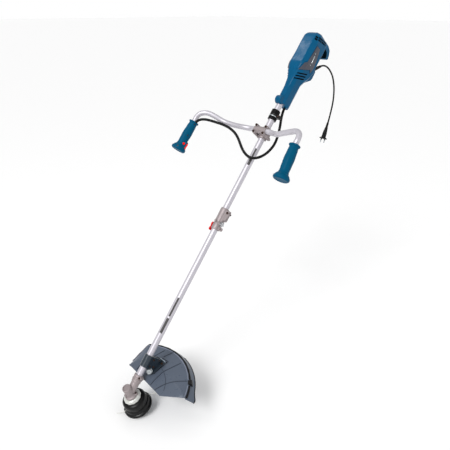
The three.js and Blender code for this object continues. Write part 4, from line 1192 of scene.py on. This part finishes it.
def add_head():
    cup = turned(
        [
            (BORE, -15.1), (24, -15.1), (27, -15.6), (31, -17.5), (34.5, -22), (35.2, -26.6), (34.8, -28),
            (33, -28), (31.5, -22), (BORE, -22), (BORE, -15.1),
        ],
        12,
    )
    piece(rounded(cup, 0.9, 3, 10), "flange_plate", HEAD, "cutting_head", FLANGE, ["flange_cup"], 25)
    housing = turned(
        [
            (BORE, -22.3), (30, -22.3), (30.6, -23), (31, -30), (34, -31), (40, -32.4), (43.6, -34.6), (46, -37.8),
            (47.5, -42), (48, -46), (48, -50.2), (47.2, -50.8), (47.2, -51.8), (48, -52.4), (48, -57), (47.4, -59),
            (46, -60), (44, -62), (40, -62), (40, -44), (BORE, -44), (BORE, -22.3),
        ],
        128,
    )
    piece(housing, "spool_drum", HEAD, "cutting_head", SPOOL_BLACK, ["spool_housing"])
    cover = turned(
        [
            (40, -62.3), (44.4, -62.3), (45.4, -62.8), (49.2, -66), (49.9, -68), (50.8, -75), (51.5, -79),
            (54.5, -80.6), (57.2, -82.8), (57.8, -84), (57.8, -87.6), (57, -89.2), (55, -90), (26.3, -90), (26.3, -87),
            (49, -87), (47, -68), (40, -65), (40, -62.3),
        ],
        128,
    )
    for side in (-1, 1):
        spot = Vector((side * 26.5, side * 68.5, 0)).normalized() * 50
        cover = join(cover, rod(5, (*spot[:2], -80.5), (*spot[:2], -68), 40, 1))
        route = [Vector((side * x, side * y, LINE_Z)) for x, y in LINE_ROUTE]
        cover = cut(cover, tube(smooth_route(route, 24), 2.2, 24))
    piece(rounded(cover, 0.3, 2, 40), "spool_lid", HEAD, "cutting_head", SPOOL_BLACK, ["spool_cover"])
    profile = [(0, -80), (9, -80), (9, -93), (24.6, -93), (25.5, -94), (25.5, -97.4)]
    profile += [(24.6, -99.6), (22, -103), (18, -105.2), (14, -106), (0, -106)]
    knob = turned(profile, 96)
    for turn in full_turn(10):
        spot = polar(27.4, turn)
        knob = cut(knob, rod(3, (*spot, -110), (*spot, -92), 32))
    piece(rounded(knob, 0.5, 2, 40), "bump_cap", HEAD, "bump_knob", BLACK, ["bump_knob"])
    low, high = SPRING_SPAN
    coil = []
    for i in range(24 * SPRING_TURNS + 1):
        turn = 2 * math.pi * i / 24
        spot = (SPRING_R * math.cos(turn), SPRING_R * math.sin(turn))
        coil.append(Vector((*spot, low + (high - low) * i / (24 * SPRING_TURNS))))
    spring = piece(tube(coil, 1, 16), "bump_coil", HEAD, "cutting_head", STEEL, ["bump_spring"])
    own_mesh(spring)


# ---- Guard -----------------------------------------------------------------------------------
GUARD_R = 246
GUARD_STEPS = 120
GUARD_ARC = (math.radians(26.5), math.radians(124))
GUARD_FLARE = 19
GUARD_FLARE_SHARE = 0.12
CORNER_SHARE = 0.04
GUARD_ARC_SHARE = 0.8
GUARD_LEFT_END = (-127, 80)
GUARD_THICK = 3
SKIRT_FOOT = -32
SHOULDER_IN = 19
FRONT_CORNERS = [(0, (197, 101, 0)), (0.25, (121, 46, 12)), (1, (-91, 66, 12))]
CUTTER_TURN = math.radians(45)


def mix(a, b, t):
    return [v + (w - v) * t for v, w in zip(a, b)]


def guard_rim(t):
    turn = GUARD_ARC[0] + (GUARD_ARC[1] - GUARD_ARC[0]) * min(t / GUARD_ARC_SHARE, 1)
    on_arc = (GUARD_R * math.cos(turn), GUARD_R * math.sin(turn))
    return mix(on_arc, GUARD_LEFT_END, max(0, (t - GUARD_ARC_SHARE) / (1 - GUARD_ARC_SHARE)))


def guard_section(t):
    """A section of the guard, from its front edge over crease and shoulder to the skirt's foot."""
    (at0, first), (at1, last) = FRONT_CORNERS[:2] if t < FRONT_CORNERS[1][0] else FRONT_CORNERS[1:]
    front = mix(first, last, (t - at0) / (at1 - at0))
    rim = guard_rim(t)
    size = math.hypot(*rim)

    def inward(distance):
        return [v * (1 - distance / size) for v in rim]

    shoulder = [*inward(SHOULDER_IN), -3]
    crease = mix(front, shoulder, 0.5)
    crease[2] += 6
    flare = GUARD_FLARE * max(0, 1 - t / GUARD_FLARE_SHARE) ** 2
    corner = max(0, 1 - t / CORNER_SHARE) ** 2
    flare -= 7 * corner
    foot_z = SKIRT_FOOT + 9 * corner
    foot = [*inward(-flare), foot_z]
    top = [front]
    for a, b, steps in ((front, crease, 8), (crease, shoulder, 8), (shoulder, foot, 5)):
        for k in range(1, steps + 1):
            top.append(mix(a, b, k / steps))
    inner_shoulder = [*inward(SHOULDER_IN + 0.6 * GUARD_THICK), -3 - GUARD_THICK]
    inner_foot = [*inward(GUARD_THICK - flare), foot_z]
    inner_crease = [crease[0], crease[1], crease[2] - GUARD_THICK]
    inner_front = [front[0], front[1], front[2] - GUARD_THICK]
    under = [inner_foot]
    for a, b, steps in ((inner_foot, inner_shoulder, 4), (inner_shoulder, inner_crease, 6), (inner_crease, inner_front, 6)):
        for k in range(1, steps + 1):
            under.append(mix(a, b, k / steps))
    return top + under


def cutter_window(grow):
    made = box((-8.5 - grow, 8.5 + grow), (-10 - grow, 10 + grow), (-18 - grow, -2 + grow))
    return moved(made, Matrix.Rotation(CUTTER_TURN, 4, "Z") @ shift(GUARD_R - 16.5, 0, 0))


GUARD_RIBS = [
    [(54, 52), (50, 84), (48, 104), (47, 123), (55, 160), (65, 205)],
    [(84, 44), (98, 90), (120, 124), (151, 160)],
    [(-52, 68), (-57, 94), (-53, 130), (-48, 168), (-42, 208)],
    [(-12, 166), (24, 168)],
    [(-14, 173), (22, 175)],
    [(-16, 180), (-4, 228)],
]


def on_guard(tree, points, steps, lift):
    """A route laid on the guard's top surface."""
    route = smooth_route([(x, y, 0) for x, y in points], steps)
    laid = []
    for p in route:
        hit = tree.ray_cast(Vector((p.x, p.y, 120)), Vector((0, 0, -1)))[0]
        if hit:
            laid.append(hit + Vector((0, 0, lift)))
    return laid


def add_guard():
    guard = loft([guard_section(i / GUARD_STEPS) for i in range(GUARD_STEPS + 1)])
    holes = [rod(2.7, (x, 146, -10), (x, 146, 60), 24) for x in (-FOOT_BOLT_X, FOOT_BOLT_X)]
    to_guard = GUARD.inverted() @ SHAFT
    notch = rod(21, to_guard @ Vector((0, 0, GUARD_Z + 10)), to_guard @ Vector((0, 0, GUARD_Z + 92)), 64)
    guard = cut(guard, *holes, notch, cutter_window(0.3))
    guard = rounded(guard, 0.9, 3, 30)
    tree = BVHTree.FromObject(guard, bpy.context.evaluated_depsgraph_get())
    evened(piece(guard, "guard_shell", GUARD, "lower_unit", GUARD_PLASTIC, ["guard"], 26))
    ribs = []
    for points in GUARD_RIBS:
        laid = on_guard(tree, points, 60, 0.2)
        radii = [1.7] * len(laid)
        radii[0] = radii[-1] = 0.5
        ribs.append(tube(laid, radii, 12))
    turns = [GUARD_ARC[0] + math.radians(4 + 4.6 * i) for i in range(19)]
    ring = [(137 * math.cos(t), 137 * math.sin(t)) for t in turns if abs(137 * math.cos(t)) > 30]
    left = [p for p in ring if p[0] < 0]
    right = [p for p in ring if p[0] > 0]
    for arc in (left, right):
        laid = on_guard(tree, arc, 80, 0)
        ribs.append(tube(laid, [1.0] * len(laid), 12))
    # The ribs take the darker colour: painted shade, for the look of grooves.
    for k, rib in enumerate(ribs):
        piece(rib, "guard_rib_" + str(k + 1), GUARD, "lower_unit", GROOVE_SHADE, angle=60)
    seam = []
    for i in range(1, 97):
        t = i / 100
        rim = guard_rim(t)
        size = math.hypot(*rim)
        spot = [v * (1 - (SHOULDER_IN - 1.6) / size) for v in rim]
        if abs(math.atan2(spot[1], spot[0]) - CUTTER_TURN) > 0.055:
            seam.append((spot, t))
    runs = [[], []]
    for spot, t in seam:
        runs[0 if math.atan2(spot[1], spot[0]) < CUTTER_TURN else 1].append(spot)
    for k, run in enumerate(runs):
        laid = on_guard(tree, run, 160, -0.4)
        strip = tube(laid, [4.2 + 0.4 * math.sin(0.4 * i) for i in range(len(laid))], 16)
        piece(strip, "guard_seam_" + str(k + 1), GUARD, "lower_unit", SEAM, angle=60)
        # A light strip just inside the seam: a painted highlight.
        inner = [tuple(v * (1 - 6.2 / math.hypot(*spot)) for v in spot) for spot in run]
        crest = tube(on_guard(tree, inner, 160, -0.4), 1.4, 12)
        piece(crest, "guard_crest_highlight_" + str(k + 1), GUARD, "lower_unit", CREST_HIGHLIGHT, angle=60)
    edge = []
    for i in range(0, 92):
        t = i / 200
        flare = GUARD_FLARE * max(0, 1 - t / GUARD_FLARE_SHARE) ** 2
        corner = max(0, 1 - t / CORNER_SHARE) ** 2
        rim = guard_rim(t)
        out = 1 + (flare - 7 * corner - 1.5) / math.hypot(*rim)
        edge.append((*[v * out for v in rim], SKIRT_FOOT + 9 * corner + 1.5))
    edge = tube(smooth_route(edge, 90), 2.2, 16)
    piece(edge, "guard_lip", GUARD, "lower_unit", SEAM, angle=60)


BRACKET_SPAN = (99, 148)
FOOT_UP = 17
FOOT_BOLT_X = 20.5
ARM_HALF = 11
CHEEK_IN, CHEEK_OUT = ARM_HALF + 0.3, ARM_HALF + 3.3
CHEEK = [(80, 57), (121, 85.5), (155, 27), (150, 22), (100, 22), (89, 38)]  # rear and up
ARM = [(80, 56), (121, 84), (158, 20), (158, FOOT_UP), (96, FOOT_UP), (88, 36)]
CROSS_BOLTS = {"upper": (123, 63), "lower": (110, 34)}


def add_guard_bracket():
    low, high = BRACKET_SPAN
    lean = turn_x(-GUARD_TURN)

    def above_axis(front, back):
        """A block over the shaft line's upper side, from front to back of its axis."""
        return moved(box((-60, 60), (front, back), (0, 300)), lean)

    def shaft_rod(r, a, b, edge=0.8):
        return rod(r, lean @ Vector((0, 0, a)), lean @ Vector((0, 0, b)), 72, edge)

    def cross_holes():
        return [rod(2.8, (-40, y, z), (40, y, z), 32) for y, z in CROSS_BOLTS.values()]

    def tube_room():
        return shaft_rod(TUBE_SEAT_R, low - 20, high + 20, 0.01)

    cheeks = [side_plate(CHEEK, *sorted((side * CHEEK_IN, side * CHEEK_OUT))) for side in (-1, 1)]
    arm_room = common(box((-CHEEK_IN, CHEEK_IN), (-200, 300), (-100, 300)), above_axis(0, 60))
    strap = cut(join(shaft_rod(17.5, low, high, 1), *cheeks), arm_room, tube_room(), *cross_holes())
    piece(rounded(strap, 0.7, 3, 35), "bracket_strap", GUARD, "lower_unit", BRACKET, ["guard_clamp_cap"])

    foot = rounded(box((-27, 27), (94, 160), (FOOT_UP, FOOT_UP + 4)), 1.2, 3, 30)
    arm = cut(join(side_plate(ARM, -ARM_HALF, ARM_HALF), foot), above_axis(-60, 0.3), tube_room(), *cross_holes())
    arm = cut(arm, *[rod(2.7, (x, 146, 0), (x, 146, 60), 24) for x in (-FOOT_BOLT_X, FOOT_BOLT_X)])
    piece(rounded(arm, 0.7, 3, 40), "bracket_arm", GUARD, "lower_unit", BRACKET, ["guard_bracket"])
    # The lip is light-coloured: a painted highlight along the foot's upturned edge.
    lip = rounded(box((-6, 27), (158.6, 161.4), (FOOT_UP + 2, FOOT_UP + 8)), 0.8, 3, 30)
    piece(lip, "bracket_lip", GUARD, "lower_unit", LIP_HIGHLIGHT)
    for name, (y, z) in CROSS_BOLTS.items():
        place = GUARD @ along((CHEEK_OUT + 0.3, y, z), (40, y, z))
        socket_screw(
            35, 4.5, 3.2, 2.5, "bracket_screw_" + name, place, "lower_unit", ["clamp_bolt_" + name],
            nut=(-33, -29, 5),
        )
    for side, name in ((1, "left"), (-1, "right")):
        place = GUARD @ shift(side * FOOT_BOLT_X, 146, FOOT_UP + 4.3)
        socket_screw(19, 4.6, 3.7, 2.3, "foot_screw_" + name, place, "lower_unit", ["foot_bolt_" + name])


WEB_SCREWS = [(142, 40), (98, 50)]  # rear and up, on the cheeks


def add_arm_screws():
    for k, (rear, up) in enumerate(WEB_SCREWS):
        for side, name in ((1, "left"), (-1, "right")):
            place = GUARD @ along((side * CHEEK_OUT, rear, up), (side * 40, rear, up))
            socket_screw(4, 3, 2.2, 1.6, "arm_screw_" + name + "_" + str(k + 1), place, "lower_unit", [])
    nut = turned([(3, 0), (10.4, 0), (11, 0.8), (11, 8.2), (10.2, 9.2), (3.4, 9.2), (3, 8.8), (3, 0)], 6)
    nut = join(nut, rod(3.1, (0, 0, -1), (0, 0, 11), 32, 0.6), rod(12.5, (0, 0, -1.4), (0, 0, 0.2), 48, 0.4))
    place = GUARD @ along((12.2, 90, 28), (14.2, 88, 29.4))
    piece(rounded(nut, 0.4, 2, 40), "arm_nut", place, "lower_unit", ZINC)


# ---- Floor and light -------------------------------------------------------------------------
FLOOR_HALF = 60


def add_studio():
    low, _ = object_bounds()
    z = low.z - 0.0005
    corners = [(-FLOOR_HALF, -FLOOR_HALF, z), (FLOOR_HALF, -FLOOR_HALF, z), (FLOOR_HALF, FLOOR_HALF, z), (-FLOOR_HALF, FLOOR_HALF, z)]
    floor = shape(corners, [(0, 1, 2, 3)])
    floor.name = "floor"
    look = bpy.data.materials.new("floor_paper")
    look.use_nodes = True
    shader = look.node_tree.nodes["Principled BSDF"]
    shader.inputs["Base Color"].default_value = (0.97, 0.97, 0.97, 1)
    shader.inputs["Roughness"].default_value = 0.9
    shader.inputs["Specular IOR Level"].default_value = 0.1
    floor.data.materials.append(look)
    world = bpy.data.worlds.new("studio")
    world.use_nodes = True
    kit = Nodes(world.node_tree)
    ray = kit.add("ShaderNodeTexCoord").outputs["Generated"]
    height = kit.add("ShaderNodeSeparateXYZ", {"Vector": ray}).outputs["Z"]
    sky = kit.ranged(height, 0.06, 0.3, 1, WORLD_LIGHT)
    world.node_tree.links.new(sky, world.node_tree.nodes["Background"].inputs["Strength"])
    world.node_tree.nodes["Background"].inputs["Color"].default_value = (1, 1, 1, 1)
    bpy.context.scene.world = world
    for name, at, size, power in LIGHTS:
        data = bpy.data.lights.new(name, "AREA")
        data.shape = "DISK"
        data.size = size
        data.energy = power
        lamp = bpy.data.objects.new(name, data)
        lamp.location = at
        lamp.rotation_mode = "QUATERNION"
        lamp.rotation_quaternion = (Vector(LIGHT_AIM) - Vector(at)).to_track_quat("-Z", "Y")
        bpy.context.scene.collection.objects.link(lamp)
    data = bpy.data.lights.new("broad_light", "SUN")
    data.energy = SUN_POWER
    data.angle = SUN_SPREAD
    lamp = bpy.data.objects.new("broad_light", data)
    lamp.rotation_mode = "QUATERNION"
    lamp.rotation_quaternion = (-Vector(SUN_FROM)).to_track_quat("-Z", "Y")
    bpy.context.scene.collection.objects.link(lamp)
    bpy.context.scene.view_settings.view_transform = "Standard"


WORLD_LIGHT = 0.6
LIGHT_AIM = (0, -0.3, -0.3)
LIGHTS = [
    ("key_light", (-1.0, -2.6, 2.8), 1.2, 12),
    ("fill_light", (3.2, 0.6, 2.0), 2.2, 6),
    ("glint_light", (-0.92, -0.14, 1.48), 0.16, 1.2),
]
SUN_FROM = (0.15, -0.72, 0.68)
SUN_SPREAD = math.radians(24)
SUN_POWER = 1.8


add_casing()
add_rear_cover()
add_shade_screens()
add_side_plates()
add_tubes()
add_harness_clamp()
add_handlebar()
add_bar_clamp()
add_grips()
add_coupling()
add_gearbox()
add_head()
add_guard()
add_guard_bracket()
add_arm_screws()
dress_cad_nodes()
add_studio()
